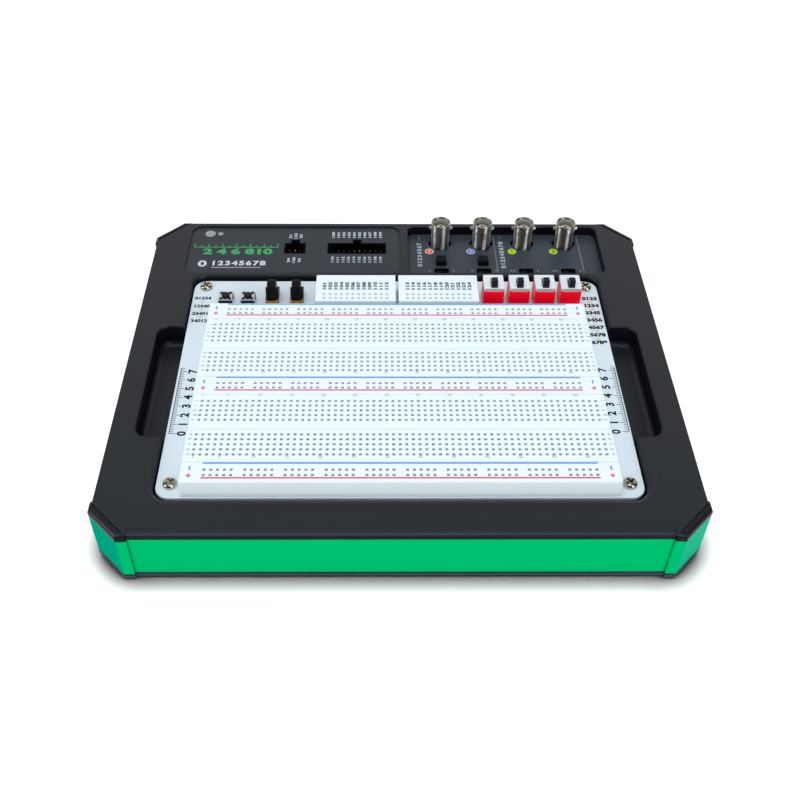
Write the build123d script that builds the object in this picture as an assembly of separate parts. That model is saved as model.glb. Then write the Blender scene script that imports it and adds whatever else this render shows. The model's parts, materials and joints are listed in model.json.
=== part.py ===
from build123d import *
import math
import os

# A portable electronics lab kit: a flat case with a breadboard on a lift-out circuit board.
# Millimetres. X runs across the front, Y to the back, Z up. The origin lies under the middle
# of the case, on the table that the rubber feet stand on.

# Case, from the table up
case_width = 229.8
case_depth = 187.0
foot_stands = 1.6
bottom_lip = 2.4
panel_height = 20.4
top_lip = 2.6
bevel_height = 0.8
bevel_run = 3.5
edge_round = 0.4
panel_wall = 2.0
lip_width = 4.0
cover_plate = 2.2
bottom_plate = 2.0
skin = 1.6
guard_proud = 1.0
guard_leg = 12.0
guard_run = 4.0
guard_depth = 6.0
guard_round = 1.8
guard_groove_in = 2.8
guard_groove_width = 0.8
guard_groove_depth = 0.6
seam = 0.15
fit_gap = 0.1

# Feet and the screws that close the case
foot_radius = 6.0
foot_seat = 0.8
foot_x = 88.0
foot_y = 66.0
case_screw_x = 100.0
case_screw_y = 78.0
case_screw_radius = 1.5
case_screw_length = 18.0
case_screw_head_radius = 2.8
case_screw_head = 1.8
case_boss_radius = 4.2
case_boss_split = 14.0

# Canvas board and its recess in the top cover
canvas_width = 185.7
canvas_depth = 127.0
canvas_thick = 1.6
canvas_corner = 5.5
canvas_front = 18.1
canvas_sink = 2.3
canvas_side_gap = 0.6
canvas_front_gap = 2.2
canvas_back_gap = 1.2
recess_rim_round = 2.1
canvas_boss = 1.5
canvas_boss_radius = 4.0
canvas_screw_inset = 5.35
canvas_screw_front = 6.6
canvas_screw_back = 4.6
canvas_screw_radius = 1.45
canvas_screw_head_radius = 2.75
canvas_screw_head = 1.9
canvas_screw_length = 5.4
screw_recess_width = 1.0
screw_recess_length = 3.8
screw_recess_depth = 1.3
screw_turn = 35.0

# Finger pockets beside the canvas
pocket_out = 12.1
pocket_under = 4.2
pocket_front = -46.4
pocket_length = 64.2
pocket_depth = 10.0
pocket_corner = 5.5
pocket_floor_round = 3.0
pocket_flare = 0.5

# Label recess at the back left, with the box headers and the light windows
label_x = -98.8
label_width = 101.0
label_y = 54.9
label_length = 36.0
label_depth = 0.7
label_corner = 5.0
power_window_radius = 2.5
power_window_x = -90.0
status_window_radius = 1.3
status_window_x = -85.0
window_y = 85.8
window_thick = 1.9
window_stem_radius = 1.0

# Jack well at the back right
well_x = 6.2
well_width = 92.1
well_y = 55.4
well_length = 35.2
well_depth = 4.65
well_corner = 3.5
well_rim_round = 0.6

# Coaxial jacks
jack_count = 4
jack_first_x = 22.0
jack_pitch = 20.1
jack_y = 83.4
jack_radius = 4.8
jack_wall = 0.7
jack_top_over_well = 12.9
jack_base = 11.0
jack_base_height = 3.2
jack_cup_depth = 11.0
jack_insulator_radius = 2.4
jack_insulator_drop = 3.2
jack_contact_radius = 0.9
jack_contact_bore = 0.45
jack_contact_drop = 2.6
jack_hex_flat = 10.3
lug_radius = 1.0
lug_reach = 5.7
lug_drop = 3.4
jack_tail_radius = 0.5
jack_tail_spread = 4.0

# Coupling jumpers and selector switches in the well
jumper_count = 2
jumper_y = 68.7
jumper_size = 4.7
jumper_over_well = 2.6
jumper_base_height = 3.2
jumper_pin_reach = 3.6
selector_y = 62.4
selector_slot_width = 6.9
selector_slot_length = 3.4
selector_body_width = 8.6
selector_body_length = 4.6
selector_body_height = 3.2
selector_cavity = 1.6
selector_knob_width = 2.2
selector_knob_length = 2.0
selector_knob_sink = 0.5
selector_travel = 2.0

# Box headers
pin_pitch = 2.54
pin_size = 0.64
pin_tail = 1.8
header_y = 74.4
header_wall = 1.0
header_floor = 2.0
header_pin_drop = 2.4
key_width = 4.2
key_depth = 2.6
wide_header_x = -18.5
wide_header_width = 28.0
wide_header_length = 8.2
wide_header_columns = 10
small_header_x = -48.2
small_header_width = 10.0
small_header_length = 8.0
small_header_columns = 3

# Main board on its standoffs
board_top = 18.0
board_thick = 1.6
board_front = -62.0
board_step = 24.0
board_back = 90.5
board_half_front = 86.0
board_half_back = 95.0
board_screw_radius = 1.2
board_screw_head_radius = 2.2
board_screw_head = 1.7
board_screw_length = 8.0
standoff_radius = 2.9
standoff_places = [(-80.0, -54.0), (80.0, -54.0), (-80.0, 12.0), (80.0, 12.0), (-89.0, 60.0), (90.5, 66.0)]

# Parts on the main board
chip_size = 17.0
chip_height = 1.4
chip_place = (-22.0, 8.0)
shield_width = 56.0
shield_length = 20.0
shield_height = 2.3
shield_place = (40.0, 4.0)
shield_sheet = 0.3
capacitor_radius = 4.0
capacitor_height = 9.5
capacitor_first = (-64.0, 58.0)
capacitor_pitch = 10.5
capacitor_count = 4

# Link plugs on the main board, which reach the link sockets under the canvas
link_y = 37.0
link_width = 30.0
link_length = 5.4
link_plug_height = 2.2
link_socket_gap = 0.15
link_columns = 10
link_slot = 1.4
link_pin_over_canvas = -0.6
link_window_gap = 1.0

# Rear ports, all under the back edge of the main board
port_face_sink = 0.6
usb_x = 6.0
usb_width = 12.0
usb_height = 11.0
usb_length = 16.5
usb_mouth_width = 8.6
usb_mouth_height = 7.8
usb_mouth_depth = 10.0
usb_tongue_width = 5.6
usb_tongue_height = 3.1
usb_tongue_length = 8.6
inlet_x = -36.0
inlet_width = 9.0
inlet_height = 11.0
inlet_length = 14.0
inlet_bore_radius = 3.1
inlet_bore_depth = 9.5
inlet_pin_radius = 1.05
audio_x = -16.0
audio_width = 7.0
audio_height = 6.0
audio_length = 13.0
audio_bore_radius = 1.8
audio_bore_depth = 11.0
audio_collar_radius = 2.8
audio_collar = 1.2
power_switch_x = -67.0
power_switch_width = 19.0
power_switch_height = 12.6
power_switch_length = 13.0
power_switch_z = 12.6
bezel_width = 21.4
bezel_height = 15.0
bezel_thick = 0.7
rocker_width = 15.4
rocker_height = 9.4
rocker_depth = 5.0
rocker_tilt = 7.0
rocker_pin_radius = 1.0
rocker_pin_length = 1.2
rocker_pivot_in = 3.0
rocker_room = 0.5

# Breadboard
hole_pitch = 2.54
columns = 63
bank_rows = 5
hole_size = 1.15
board_height = 8.5
top_skin = 1.8
groove_depth = 0.7
groove_width = 3.2
strip_width = 165.1
strip_length = 35.48
bank_gap = 7.62
rail_length = 10.0
rail_groups = 10
rail_group_holes = 5
rail_group_step = 6
rail_first_column = 3
breadboard_front = 0.63
clip_slot = 1.9
clip_slot_over = 2.2
clip_width = 1.5
clip_wall = 0.3
clip_height = 5.4

# Pin sockets behind the breadboard
socket_width = 35.7
socket_length = 17.8
socket_gap = 1.4
socket_x = 0.15
socket_behind = 1.8
socket_columns = 12
socket_rows = 2
socket_row_inset = 2.0
socket_hole = 1.1
socket_hole_depth = 7.0

# Push buttons
button_count = 2
button_first_x = -77.3
button_pitch = 10.0
button_y = 37.3
button_size = 6.0
button_base_height = 3.1
button_sheet = 0.3
button_leg = 0.7
button_stem_radius = 1.75
button_stem_over = 0.9
button_flange_radius = 2.15
button_flange = 0.9
button_travel = 0.3
button_play = 0.12

# Thumb dials
dial_count = 2
dial_first_x = -56.3
dial_pitch = 11.1
dial_y = 38.5
dial_radius = 4.8
dial_width = 3.9
dial_axle_over = 5.8
dial_axle_radius = 0.8
dial_edge = 0.45
dial_ribs = 36
dial_rib_depth = 0.18
dial_base_width = 5.7
dial_base_front = 5.0
dial_base_back = 5.4
dial_base_height = 3.4
dial_slot_gap = 0.2
dial_ear_half = 1.3
dial_running_gap = 0.05

# Slide switches
switch_count = 4
switch_first_x = 43.6
switch_pitch = 11.5
switch_y = 33.0
switch_width = 9.1
switch_length = 9.7
switch_body_height = 9.4
switch_cover_height = 2.0
switch_cover_inset = 0.1
switch_cavity_height = 1.0
switch_cavity_wall = 0.5
switch_notch = 0.75
lever_width = 2.7
lever_length = 2.7
lever_over = 4.0
lever_set_back = 0.7
lever_plate_width = 6.6
lever_plate_height = 0.7
lever_travel = 4.2
lever_round = 0.4

# Indicator lights beside the printed rows of the canvas
light_width = 1.6
light_length = 0.8
light_height = 0.6
left_light_x = -88.1
left_light_y = [36.6, 31.6, 26.6]
right_light_x = 88.5
right_light_y = [36.8, 31.9, 27.0, 22.1, 17.2, 12.3]

# Heights and lines that follow from the sizes above
z_panel = foot_stands + bottom_lip
z_lip = z_panel + panel_height
z_bevel = z_lip + top_lip
z_top = z_bevel + bevel_height
z_floor = foot_stands + bottom_plate
z_canvas = z_top - canvas_sink
z_canvas_under = z_canvas - canvas_thick
z_recess = z_canvas_under - canvas_boss
z_well = z_top - well_depth
z_label = z_top - label_depth
z_board_under = board_top - board_thick
z_jack = z_well + jack_top_over_well
z_breadboard = z_canvas + board_height
half_x = case_width / 2
half_y = case_depth / 2
guard_x = half_x + guard_proud
guard_y = half_y + guard_proud
panel_leg = guard_leg - guard_proud * (2 - math.sqrt(2))
canvas_y = -half_y + canvas_front
rail_span = rail_length + strip_length
breadboard_y = canvas_y + breadboard_front
breadboard_back = breadboard_y + 2 * rail_span + rail_length
jack_places = [jack_first_x + jack_pitch * i for i in range(jack_count)]
switch_places = [switch_first_x + switch_pitch * i for i in range(switch_count)]
dial_places = [dial_first_x + dial_pitch * i for i in range(dial_count)]
button_places = [button_first_x + button_pitch * i for i in range(button_count)]
canvas_screw_places = [
    (side * (canvas_width / 2 - canvas_screw_inset), y)
    for side in (-1, 1)
    for y in (canvas_y + canvas_screw_front, canvas_y + canvas_depth - canvas_screw_back)
]
socket_centres = [socket_x + side * (socket_width + socket_gap) / 2 for side in (-1, 1)]


def block(x0, x1, y0, y1, z0, z1):
    return Pos((x0 + x1) / 2, (y0 + y1) / 2, (z0 + z1) / 2) * Box(x1 - x0, y1 - y0, z1 - z0)


def centred_block(x, y, width, length, z0, z1):
    return block(x - width / 2, x + width / 2, y - length / 2, y + length / 2, z0, z1)


def rod(x, y, radius, z0, z1):
    return Pos(x, y, (z0 + z1) / 2) * Cylinder(radius, z1 - z0)


def rounded_block(x0, x1, y0, y1, z0, z1, corner):
    outline = Pos((x0 + x1) / 2, (y0 + y1) / 2, z0) * RectangleRounded(x1 - x0, y1 - y0, corner)
    return extrude(outline, z1 - z0)


def prism(points, z0, z1):
    return extrude(Pos(0, 0, z0) * make_face(Polyline(*points, close=True)), z1 - z0)


def octagon(x, y_front, y_back, leg):
    return [
        (x, y_back - leg), (x - leg, y_back), (leg - x, y_back), (-x, y_back - leg),
        (-x, leg - y_front), (leg - x, -y_front), (x - leg, -y_front), (x, leg - y_front),
    ]


def four_corners(shape):
    across = shape.mirror(Plane.YZ)
    return [shape, across, shape.mirror(Plane.XZ), across.mirror(Plane.XZ)]


def rectangle_wire(x, y, width, length):
    corners = [(x - width / 2, y - length / 2), (x + width / 2, y - length / 2),
               (x + width / 2, y + length / 2), (x - width / 2, y + length / 2)]
    return Wire(Polyline(*corners, close=True).edges())


def pierced_slab(x, y, width, length, z0, z1, places, hole_x, hole_y):
    holes = [rectangle_wire(hx, hy, hole_x, hole_y) for hx, hy in places]
    sheet = Face(rectangle_wire(x, y, width, length), holes)
    return extrude(Pos(0, 0, z0) * sheet, z1 - z0)


def corner_outline(wall):
    # The front right corner between two panels: four outer points, then the inner ones.
    end_x = guard_x - guard_leg - guard_run
    end_y = -guard_y + guard_leg + guard_run
    outer = [(end_x, -guard_y), (guard_x - guard_leg, -guard_y),
             (guard_x, -guard_y + guard_leg), (guard_x, end_y)]
    bend = guard_leg + wall * math.tan(math.pi / 8)
    inner = [(guard_x - wall, end_y), (guard_x - wall, -guard_y + bend),
             (guard_x - bend, -guard_y + wall), (end_x, -guard_y + wall)]
    if guard_run < wall * math.tan(math.pi / 8):
        inner = [inner[0], inner[3]]
    return outer + inner


def solid_corner(z0, z1):
    points = corner_outline(guard_depth)
    return prism(points[:5] + points[-1:], z0, z1)


def cross_recess(screw, x, y, z):
    # The cross recess of a Phillips head, turned a little from the case's axes.
    slot = Box(screw_recess_length, screw_recess_width, screw_recess_depth)
    cross = slot + Rot(0, 0, 90) * slot
    return screw - Pos(x, y, z - screw_recess_depth / 2) * Rot(0, 0, screw_turn) * cross


def canvas_outline(gap, z0, z1):
    return rounded_block(-canvas_width / 2 - gap, canvas_width / 2 + gap, canvas_y - gap,
                         canvas_y + canvas_depth + gap, z0, z1, canvas_corner + gap)


def recess_outline(grow, z0, z1):
    half = canvas_width / 2 + canvas_side_gap + grow
    return rounded_block(-half, half, canvas_y - canvas_front_gap - grow,
                         canvas_y + canvas_depth + canvas_back_gap + grow, z0, z1,
                         canvas_corner + canvas_back_gap + grow)


def finger_pocket(gap, z0, z1):
    # The right pocket; the left one mirrors it.
    x0 = canvas_width / 2 - pocket_under - gap
    x1 = canvas_width / 2 + pocket_out + gap
    return rounded_block(x0, x1, pocket_front - gap, pocket_front + pocket_length + gap,
                         z0, z1, pocket_corner + gap)


def link_block(gap, z0, z1, x):
    return centred_block(x, link_y, link_width + 2 * gap, link_length + 2 * gap, z0, z1)


def header_outline(x, width, length, gap, z0, z1):
    body = centred_block(x, header_y, width + 2 * gap, length + 2 * gap, z0, z1)
    key_y = header_y + length / 2 + key_depth / 2
    key = centred_block(x, key_y, key_width + 2 * gap, key_depth + 2 * gap, z0, z1)
    return body + key


def rim_edges(cover, x, y, half_width, half_length):
    # The edges of the cover's top face that lie within a rectangle about x, y.
    return [
        e for e in cover.edges().filter_by_position(Axis.Z, z_top - fit_gap / 2, z_top + fit_gap / 2)
        if abs(e.center().X - x) < half_width and abs(e.center().Y - y) < half_length
    ]


def guard_groove():
    # A shallow groove on top, along the inner side of the front right guard.
    reach = guard_groove_in / math.sqrt(2)
    x = guard_x - guard_leg / 2 - reach
    y = -guard_y + guard_leg / 2 + reach
    slot = Box(guard_leg * math.sqrt(2) + guard_proud, guard_groove_width, 2 * guard_groove_depth)
    return Pos(x, y, z_top) * Rot(0, 0, 45) * slot


def top_cover():
    rim = prism(octagon(half_x, half_y, half_y, panel_leg), z_lip, z_bevel)
    low = Pos(0, 0, z_bevel) * make_face(
        Polyline(*octagon(half_x, half_y, half_y, panel_leg), close=True))
    high = Pos(0, 0, z_top) * make_face(
        Polyline(*octagon(half_x - edge_round, half_y - bevel_run, half_y - edge_round, panel_leg),
                 close=True))
    cover = rim + loft([low, high], ruled=True)
    inside = half_x - lip_width
    cover -= prism(octagon(inside, half_y - lip_width, half_y - lip_width, panel_leg),
                   z_lip, z_top - cover_plate)
    guard = solid_corner(z_lip, z_top)
    outer_edges = [
        e for e in guard.edges().filter_by_position(Axis.Z, z_top - fit_gap, z_top + fit_gap)
        if e.center().X > guard_x - guard_leg - guard_run + fit_gap
        and (e.center().Y < -guard_y + fit_gap or e.center().X > guard_x - fit_gap
             or e.center().X - e.center().Y > guard_x + guard_y - guard_leg - fit_gap)
    ]
    guard = fillet(outer_edges, guard_round)
    for corner in four_corners(guard):
        cover += corner
    for groove in four_corners(guard_groove()):
        cover -= groove
    # Walls of the recesses, kept inside the panels below the lip.
    clear = half_y - panel_wall - fit_gap
    walls = recess_outline(skin, z_recess - skin, z_top - cover_plate)
    pocket = finger_pocket(skin, z_top - pocket_depth - skin, z_top - cover_plate)
    walls = walls + pocket + pocket.mirror(Plane.YZ)
    well_back = min(well_y + well_length + skin, clear)
    walls += rounded_block(well_x - skin, well_x + well_width + skin, well_y - skin, well_back,
                           z_well - skin, z_top - cover_plate, well_corner)
    cover += walls
    # Bosses for the case screws and the canvas screws.
    for sx in (-1, 1):
        for sy in (-1, 1):
            x, y = sx * case_screw_x, sy * case_screw_y
            cover += rod(x, y, case_boss_radius, case_boss_split, z_top - cover_plate)
    cover -= recess_outline(0, z_recess, z_top)
    cover = fillet(rim_edges(cover, 0, canvas_y + canvas_depth / 2, canvas_width / 2 + skin,
                             canvas_depth / 2 + 2 * skin), recess_rim_round)
    cut = finger_pocket(0, z_top - pocket_depth, z_top)
    cut = fillet(cut.faces().sort_by(Axis.Z)[0].edges(), pocket_floor_round)
    cut += loft([finger_pocket(0, z_top - pocket_flare, z_top).faces().sort_by(Axis.Z)[0],
                 finger_pocket(pocket_flare, z_top - pocket_flare, z_top).faces().sort_by(Axis.Z)[-1]])
    cover = cover - cut - cut.mirror(Plane.YZ)
    cover -= rounded_block(label_x, label_x + label_width, label_y, label_y + label_length,
                           z_label, z_top, label_corner)
    cover -= rounded_block(well_x, well_x + well_width, well_y, well_y + well_length,
                           z_well, z_top, well_corner)
    cover = fillet(rim_edges(cover, well_x + well_width / 2, well_y + well_length / 2,
                             well_width / 2 + fit_gap, well_length / 2 + fit_gap), well_rim_round)
    for x, y in canvas_screw_places:
        cover += rod(x, y, canvas_boss_radius, z_recess - skin, z_canvas_under)
        cover -= rod(x, y, canvas_screw_radius + fit_gap, z_recess - skin, z_canvas_under)
    for sx in (-1, 1):
        for sy in (-1, 1):
            x, y = sx * case_screw_x, sy * case_screw_y
            screw_top = foot_stands + case_screw_head + case_screw_length
            cover -= rod(x, y, case_screw_radius + fit_gap / 2, case_boss_split, screw_top + fit_gap)
    # Openings in the floors of the recesses.
    for x in socket_centres:
        cover -= link_block(link_window_gap, z_recess - skin, z_recess, x)
    for x in jack_places:
        hexagon = Pos(x, jack_y, z_well - skin) * RegularPolygon(jack_hex_flat / 2, 6, False)
        cover -= extrude(hexagon, skin)
        cover -= centred_block(x, selector_y, selector_slot_width, selector_slot_length,
                               z_well - skin, z_well)
    for x in jack_places[:jumper_count]:
        hole = jumper_size + 2 * fit_gap + 0.3
        cover -= centred_block(x, jumper_y, hole, hole, z_well - skin, z_well)
    for x, width, length in ((wide_header_x, wide_header_width, wide_header_length),
                             (small_header_x, small_header_width, small_header_length)):
        cover -= header_outline(x, width, length, fit_gap, z_top - cover_plate, z_label)
    for x, radius in ((power_window_x, power_window_radius), (status_window_x, status_window_radius)):
        cover -= rod(x, window_y, radius + fit_gap / 2, z_top - cover_plate, z_label)
    return cover


def bottom_cover():
    outline = octagon(half_x, half_y, half_y, panel_leg)
    cover = prism(outline, foot_stands, z_panel)
    inner = half_y - lip_width
    cover -= prism(octagon(half_x - lip_width, inner, inner, panel_leg), z_floor, z_panel)
    for corner in four_corners(solid_corner(foot_stands, z_panel)):
        cover += corner
    # Upstands behind the front and side panels.
    back = panel_wall + fit_gap
    reach = guard_leg + guard_run + guard_depth
    cover += block(-half_x + reach, half_x - reach, -half_y + back, -half_y + back + skin,
                   z_floor, z_panel + 2 * skin)
    for side in (-1, 1):
        x0, x1 = sorted((side * (half_x - back), side * (half_x - back - skin)))
        cover += block(x0, x1, -half_y + reach, half_y - reach, z_floor, z_panel + 2 * skin)
    for x, y in standoff_places:
        cover += rod(x, y, standoff_radius, foot_stands + skin, z_board_under)
        screw_foot = board_top - board_screw_length - fit_gap
        cover -= rod(x, y, board_screw_radius + fit_gap / 2, screw_foot, z_board_under)
    for sx in (-1, 1):
        for sy in (-1, 1):
            x, y = sx * case_screw_x, sy * case_screw_y
            cover += rod(x, y, case_boss_radius, foot_stands, case_boss_split)
            cover -= rod(x, y, case_screw_head_radius + fit_gap, foot_stands,
                         foot_stands + case_screw_head)
            cover -= rod(x, y, case_screw_radius + fit_gap, foot_stands, case_boss_split)
            cover -= rod(sx * foot_x, sy * foot_y, foot_radius + fit_gap / 2,
                         foot_stands, foot_stands + foot_seat)
    return cover


def front_panel():
    half = guard_x - guard_leg - guard_run - seam
    return block(-half, half, -half_y, -half_y + panel_wall, z_panel, z_lip)


def rear_panel():
    half = guard_x - guard_leg - guard_run - seam
    panel = block(-half, half, half_y - panel_wall, half_y, z_panel, z_lip)
    for x, width, height in ((usb_x, usb_width, usb_height), (inlet_x, inlet_width, inlet_height)):
        panel -= block(x - width / 2 - fit_gap, x + width / 2 + fit_gap, half_y - panel_wall, half_y,
                       z_board_under - height - fit_gap, z_board_under + fit_gap)
    audio_z = z_board_under - audio_height / 2
    panel -= rear_rod(audio_x, audio_z, audio_collar_radius + fit_gap, half_y - panel_wall, half_y)
    panel -= block(power_switch_x - power_switch_width / 2 - fit_gap,
                   power_switch_x + power_switch_width / 2 + fit_gap, half_y - panel_wall, half_y,
                   power_switch_z - power_switch_height / 2 - fit_gap,
                   power_switch_z + power_switch_height / 2 + fit_gap)
    return panel


def side_panels():
    half = guard_y - guard_leg - guard_run - seam
    right = block(half_x - panel_wall, half_x, -half, half, z_panel, z_lip)
    return [right, right.mirror(Plane.YZ)]


def corner_posts():
    return four_corners(prism(corner_outline(guard_proud + panel_wall), z_panel, z_lip))


def rubber_feet():
    feet = []
    for sx in (-1, 1):
        for sy in (-1, 1):
            foot = rod(sx * foot_x, sy * foot_y, foot_radius, 0, foot_stands + foot_seat)
            feet.append(chamfer(foot.edges().sort_by(Axis.Z)[0], foot_stands / 4))
    return feet


def case_screws():
    screws = []
    for sx in (-1, 1):
        for sy in (-1, 1):
            x, y = sx * case_screw_x, sy * case_screw_y
            head_top = foot_stands + case_screw_head
            screw = rod(x, y, case_screw_head_radius, foot_stands, head_top)
            screw += rod(x, y, case_screw_radius, head_top, head_top + case_screw_length)
            recess = foot_stands + screw_recess_depth
            screws.append(cross_recess(screw, x, y, recess))
    return screws


def main_board():
    rear = power_switch_width / 2 + 2 * fit_gap
    notch_front = half_y - panel_wall - power_switch_length - skin
    points = [(-board_half_front, board_front), (board_half_front, board_front),
              (board_half_front, board_step), (board_half_back, board_step),
              (board_half_back, board_back), (power_switch_x + rear + skin, board_back),
              (power_switch_x + rear + skin, notch_front), (power_switch_x - rear - skin, notch_front),
              (power_switch_x - rear - skin, board_back), (-board_half_back, board_back),
              (-board_half_back, board_step), (-board_half_front, board_step)]
    board = prism(points, z_board_under, board_top)
    holes = [(x, y, board_screw_radius + fit_gap) for x, y in standoff_places]
    for x in jack_places:
        holes.append((x, jack_y, jack_contact_radius + fit_gap))
        for sx in (-1, 1):
            holes.append((x + sx * jack_tail_spread, jack_y, jack_tail_radius + fit_gap))
    for x, y, radius in holes:
        board -= rod(x, y, radius, z_board_under, board_top)
    pins = header_pin_places() + link_pin_places() + jumper_pin_places()
    for x, y in pins:
        board -= centred_block(x, y, pin_size + fit_gap, pin_size + fit_gap, z_board_under, board_top)
    return board


def board_screws():
    screws = []
    for x, y in standoff_places:
        screw = rod(x, y, board_screw_head_radius, board_top, board_top + board_screw_head)
        screw += rod(x, y, board_screw_radius, board_top - board_screw_length, board_top)
        top = board_top + board_screw_head
        screws.append(cross_recess(screw, x, y, top))
    return screws


def jack_shells():
    shells = []
    barrel_foot = board_top + jack_base_height
    for x in jack_places:
        shell = centred_block(x, jack_y, jack_base, jack_base, board_top, barrel_foot)
        shell += rod(x, jack_y, jack_radius, barrel_foot, z_jack)
        rim = shell.edges().filter_by_position(Axis.Z, z_jack - fit_gap, z_jack + fit_gap)
        shell = chamfer(rim, jack_wall / 2)
        lug_z = z_jack - lug_drop
        shell += Pos(x, jack_y, lug_z) * Rot(0, 90, 0) * Cylinder(lug_radius, 2 * lug_reach)
        shell -= rod(x, jack_y, jack_radius - jack_wall, z_jack - jack_cup_depth, z_jack)
        shell -= rod(x, jack_y, jack_contact_radius + fit_gap, board_top, z_jack - jack_cup_depth)
        for side in (-1, 1):
            tail_x = x + side * jack_tail_spread
            shell += rod(tail_x, jack_y, jack_tail_radius, z_board_under - pin_tail, board_top)
        shells.append(shell)
    return shells


def jack_insulators():
    parts = []
    for x in jack_places:
        top = z_jack - jack_insulator_drop
        part = rod(x, jack_y, jack_insulator_radius, z_jack - jack_cup_depth, top)
        part -= rod(x, jack_y, jack_contact_radius + fit_gap / 2, z_jack - jack_cup_depth, top)
        parts.append(part)
    return parts


def jack_contacts():
    parts = []
    for x in jack_places:
        top = z_jack - jack_contact_drop
        part = rod(x, jack_y, jack_contact_radius, z_board_under - pin_tail, top)
        parts.append(part - rod(x, jack_y, jack_contact_bore, top - jack_insulator_radius, top))
    return parts


def header_pin_places():
    places = []
    for x, count in ((wide_header_x, wide_header_columns), (small_header_x, small_header_columns)):
        for i in range(count):
            for row in (-0.5, 0.5):
                places.append((x + (i - (count - 1) / 2) * pin_pitch, header_y + row * pin_pitch))
    return places


def jumper_pin_places():
    return [(x + i * pin_pitch, jumper_y + j * pin_pitch)
            for x in jack_places[:jumper_count] for i in (-0.5, 0.5) for j in (-0.5, 0.5)]


def link_pin_places():
    return [(x + (i - (link_columns - 1) / 2) * pin_pitch, link_y + row * pin_pitch)
            for x in socket_centres for i in range(link_columns) for row in (-0.5, 0.5)]


def pin_posts(places, z1):
    z0 = z_board_under - pin_tail
    return [centred_block(x, y, pin_size, pin_size, z0, z1) for x, y in places]


def header_pins():
    pins = pin_posts(header_pin_places(), z_label - header_pin_drop)
    pins += pin_posts(link_pin_places(), z_canvas_under + link_pin_over_canvas)
    pins += pin_posts(jumper_pin_places(), board_top + jumper_base_height + jumper_pin_reach)
    return pins


def box_header(x, width, length, count):
    shroud = header_outline(x, width, length, 0, board_top, z_label)
    wall = header_wall
    shroud -= centred_block(x, header_y, width - 2 * wall, length - 2 * wall,
                            board_top + header_floor, z_label)
    key_y = header_y + length / 2
    shroud -= centred_block(x, key_y, key_width - 2 * wall, 2 * (key_depth - wall),
                            board_top + header_floor, z_label)
    for i in range(count):
        for row in (-0.5, 0.5):
            px = x + (i - (count - 1) / 2) * pin_pitch
            hole = pin_size + fit_gap
            shroud -= centred_block(px, header_y + row * pin_pitch, hole, hole,
                                    board_top, board_top + header_floor)
    return shroud


def wide_header():
    return box_header(wide_header_x, wide_header_width, wide_header_length, wide_header_columns)


def small_header():
    return box_header(small_header_x, small_header_width, small_header_length, small_header_columns)


def coupling_headers():
    bases = []
    for x in jack_places[:jumper_count]:
        base = centred_block(x, jumper_y, jumper_size, jumper_size,
                             board_top, board_top + jumper_base_height)
        for px, py in jumper_pin_places():
            hole = pin_size + fit_gap
            base -= centred_block(px, py, hole, hole, board_top, board_top + jumper_base_height)
        bases.append(base)
    return bases


def coupling_jumper(index):
    x = jack_places[index]
    z0 = board_top + jumper_base_height
    z1 = z_well + jumper_over_well
    jumper = centred_block(x, jumper_y, jumper_size, jumper_size, z0, z1)
    jumper = fillet(jumper.edges().filter_by(Axis.Z), jumper_size / 12)
    jumper = chamfer(jumper.faces().sort_by(Axis.Z)[-1].edges(), jumper_size / 20)
    for px, py in jumper_pin_places():
        hole = pin_size + 2 * fit_gap
        jumper -= centred_block(px, py, hole, hole, z0, z0 + jumper_pin_reach + fit_gap)
    return jumper


def selector_bodies():
    bodies = []
    top = board_top + selector_body_height
    room = selector_travel + selector_knob_width + 2 * fit_gap
    for x in jack_places:
        body = centred_block(x, selector_y, selector_body_width, selector_body_length,
                             board_top, top)
        body -= centred_block(x, selector_y, room, selector_knob_length + 2 * fit_gap,
                              top - selector_cavity, top)
        bodies.append(body)
    return bodies


def selector_slider(index):
    # The knob stands at the left end of its travel.
    x = jack_places[index] - selector_travel / 2
    z0 = board_top + selector_body_height - selector_cavity + fit_gap / 2
    z1 = z_well - selector_knob_sink
    knob = centred_block(x, selector_y, selector_knob_width, selector_knob_length, z0, z1)
    for i in (-1, 0, 1):
        rib_x = x + i * selector_knob_width / 4
        knob -= centred_block(rib_x, selector_y, selector_knob_width / 10, selector_knob_length,
                              z1 - selector_knob_width / 10, z1)
    return knob


def light_windows():
    windows = []
    for x, radius in ((power_window_x, power_window_radius), (status_window_x, status_window_radius)):
        window = rod(x, window_y, radius, z_label - window_thick, z_label)
        window += rod(x, window_y, window_stem_radius, board_top, z_label - window_thick)
        windows.append(window)
    return windows


def processor_chip():
    x, y = chip_place
    return centred_block(x, y, chip_size, chip_size, board_top, board_top + chip_height)


def shield_can():
    x, y = shield_place
    top = board_top + shield_height
    can = centred_block(x, y, shield_width, shield_length, board_top, top)
    can = fillet(can.edges().filter_by(Axis.Z), 2 * shield_sheet)
    return can - centred_block(x, y, shield_width - 2 * shield_sheet, shield_length - 2 * shield_sheet,
                               board_top, top - shield_sheet)


def power_capacitors():
    x, y = capacitor_first
    return [rod(x + i * capacitor_pitch, y, capacitor_radius, z_board_under - capacitor_height,
                z_board_under) for i in range(capacitor_count)]


def link_plugs():
    plugs = []
    for x in socket_centres:
        plug = centred_block(x, link_y, link_width, link_length, board_top,
                             board_top + link_plug_height)
        for px, py in link_pin_places():
            if abs(px - x) < link_width / 2:
                hole = pin_size + fit_gap
                plug -= centred_block(px, py, hole, hole, board_top, board_top + link_plug_height)
        plugs.append(plug)
    return plugs


def link_sockets():
    sockets = []
    for x in socket_centres:
        foot = board_top + link_plug_height + link_socket_gap
        socket = centred_block(x, link_y, link_width, link_length, foot, z_canvas_under)
        for row in (-0.5, 0.5):
            socket -= centred_block(x, link_y + row * pin_pitch, link_width - 2 * skin, link_slot,
                                    foot, z_canvas_under)
        sockets.append(socket)
    return sockets


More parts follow.
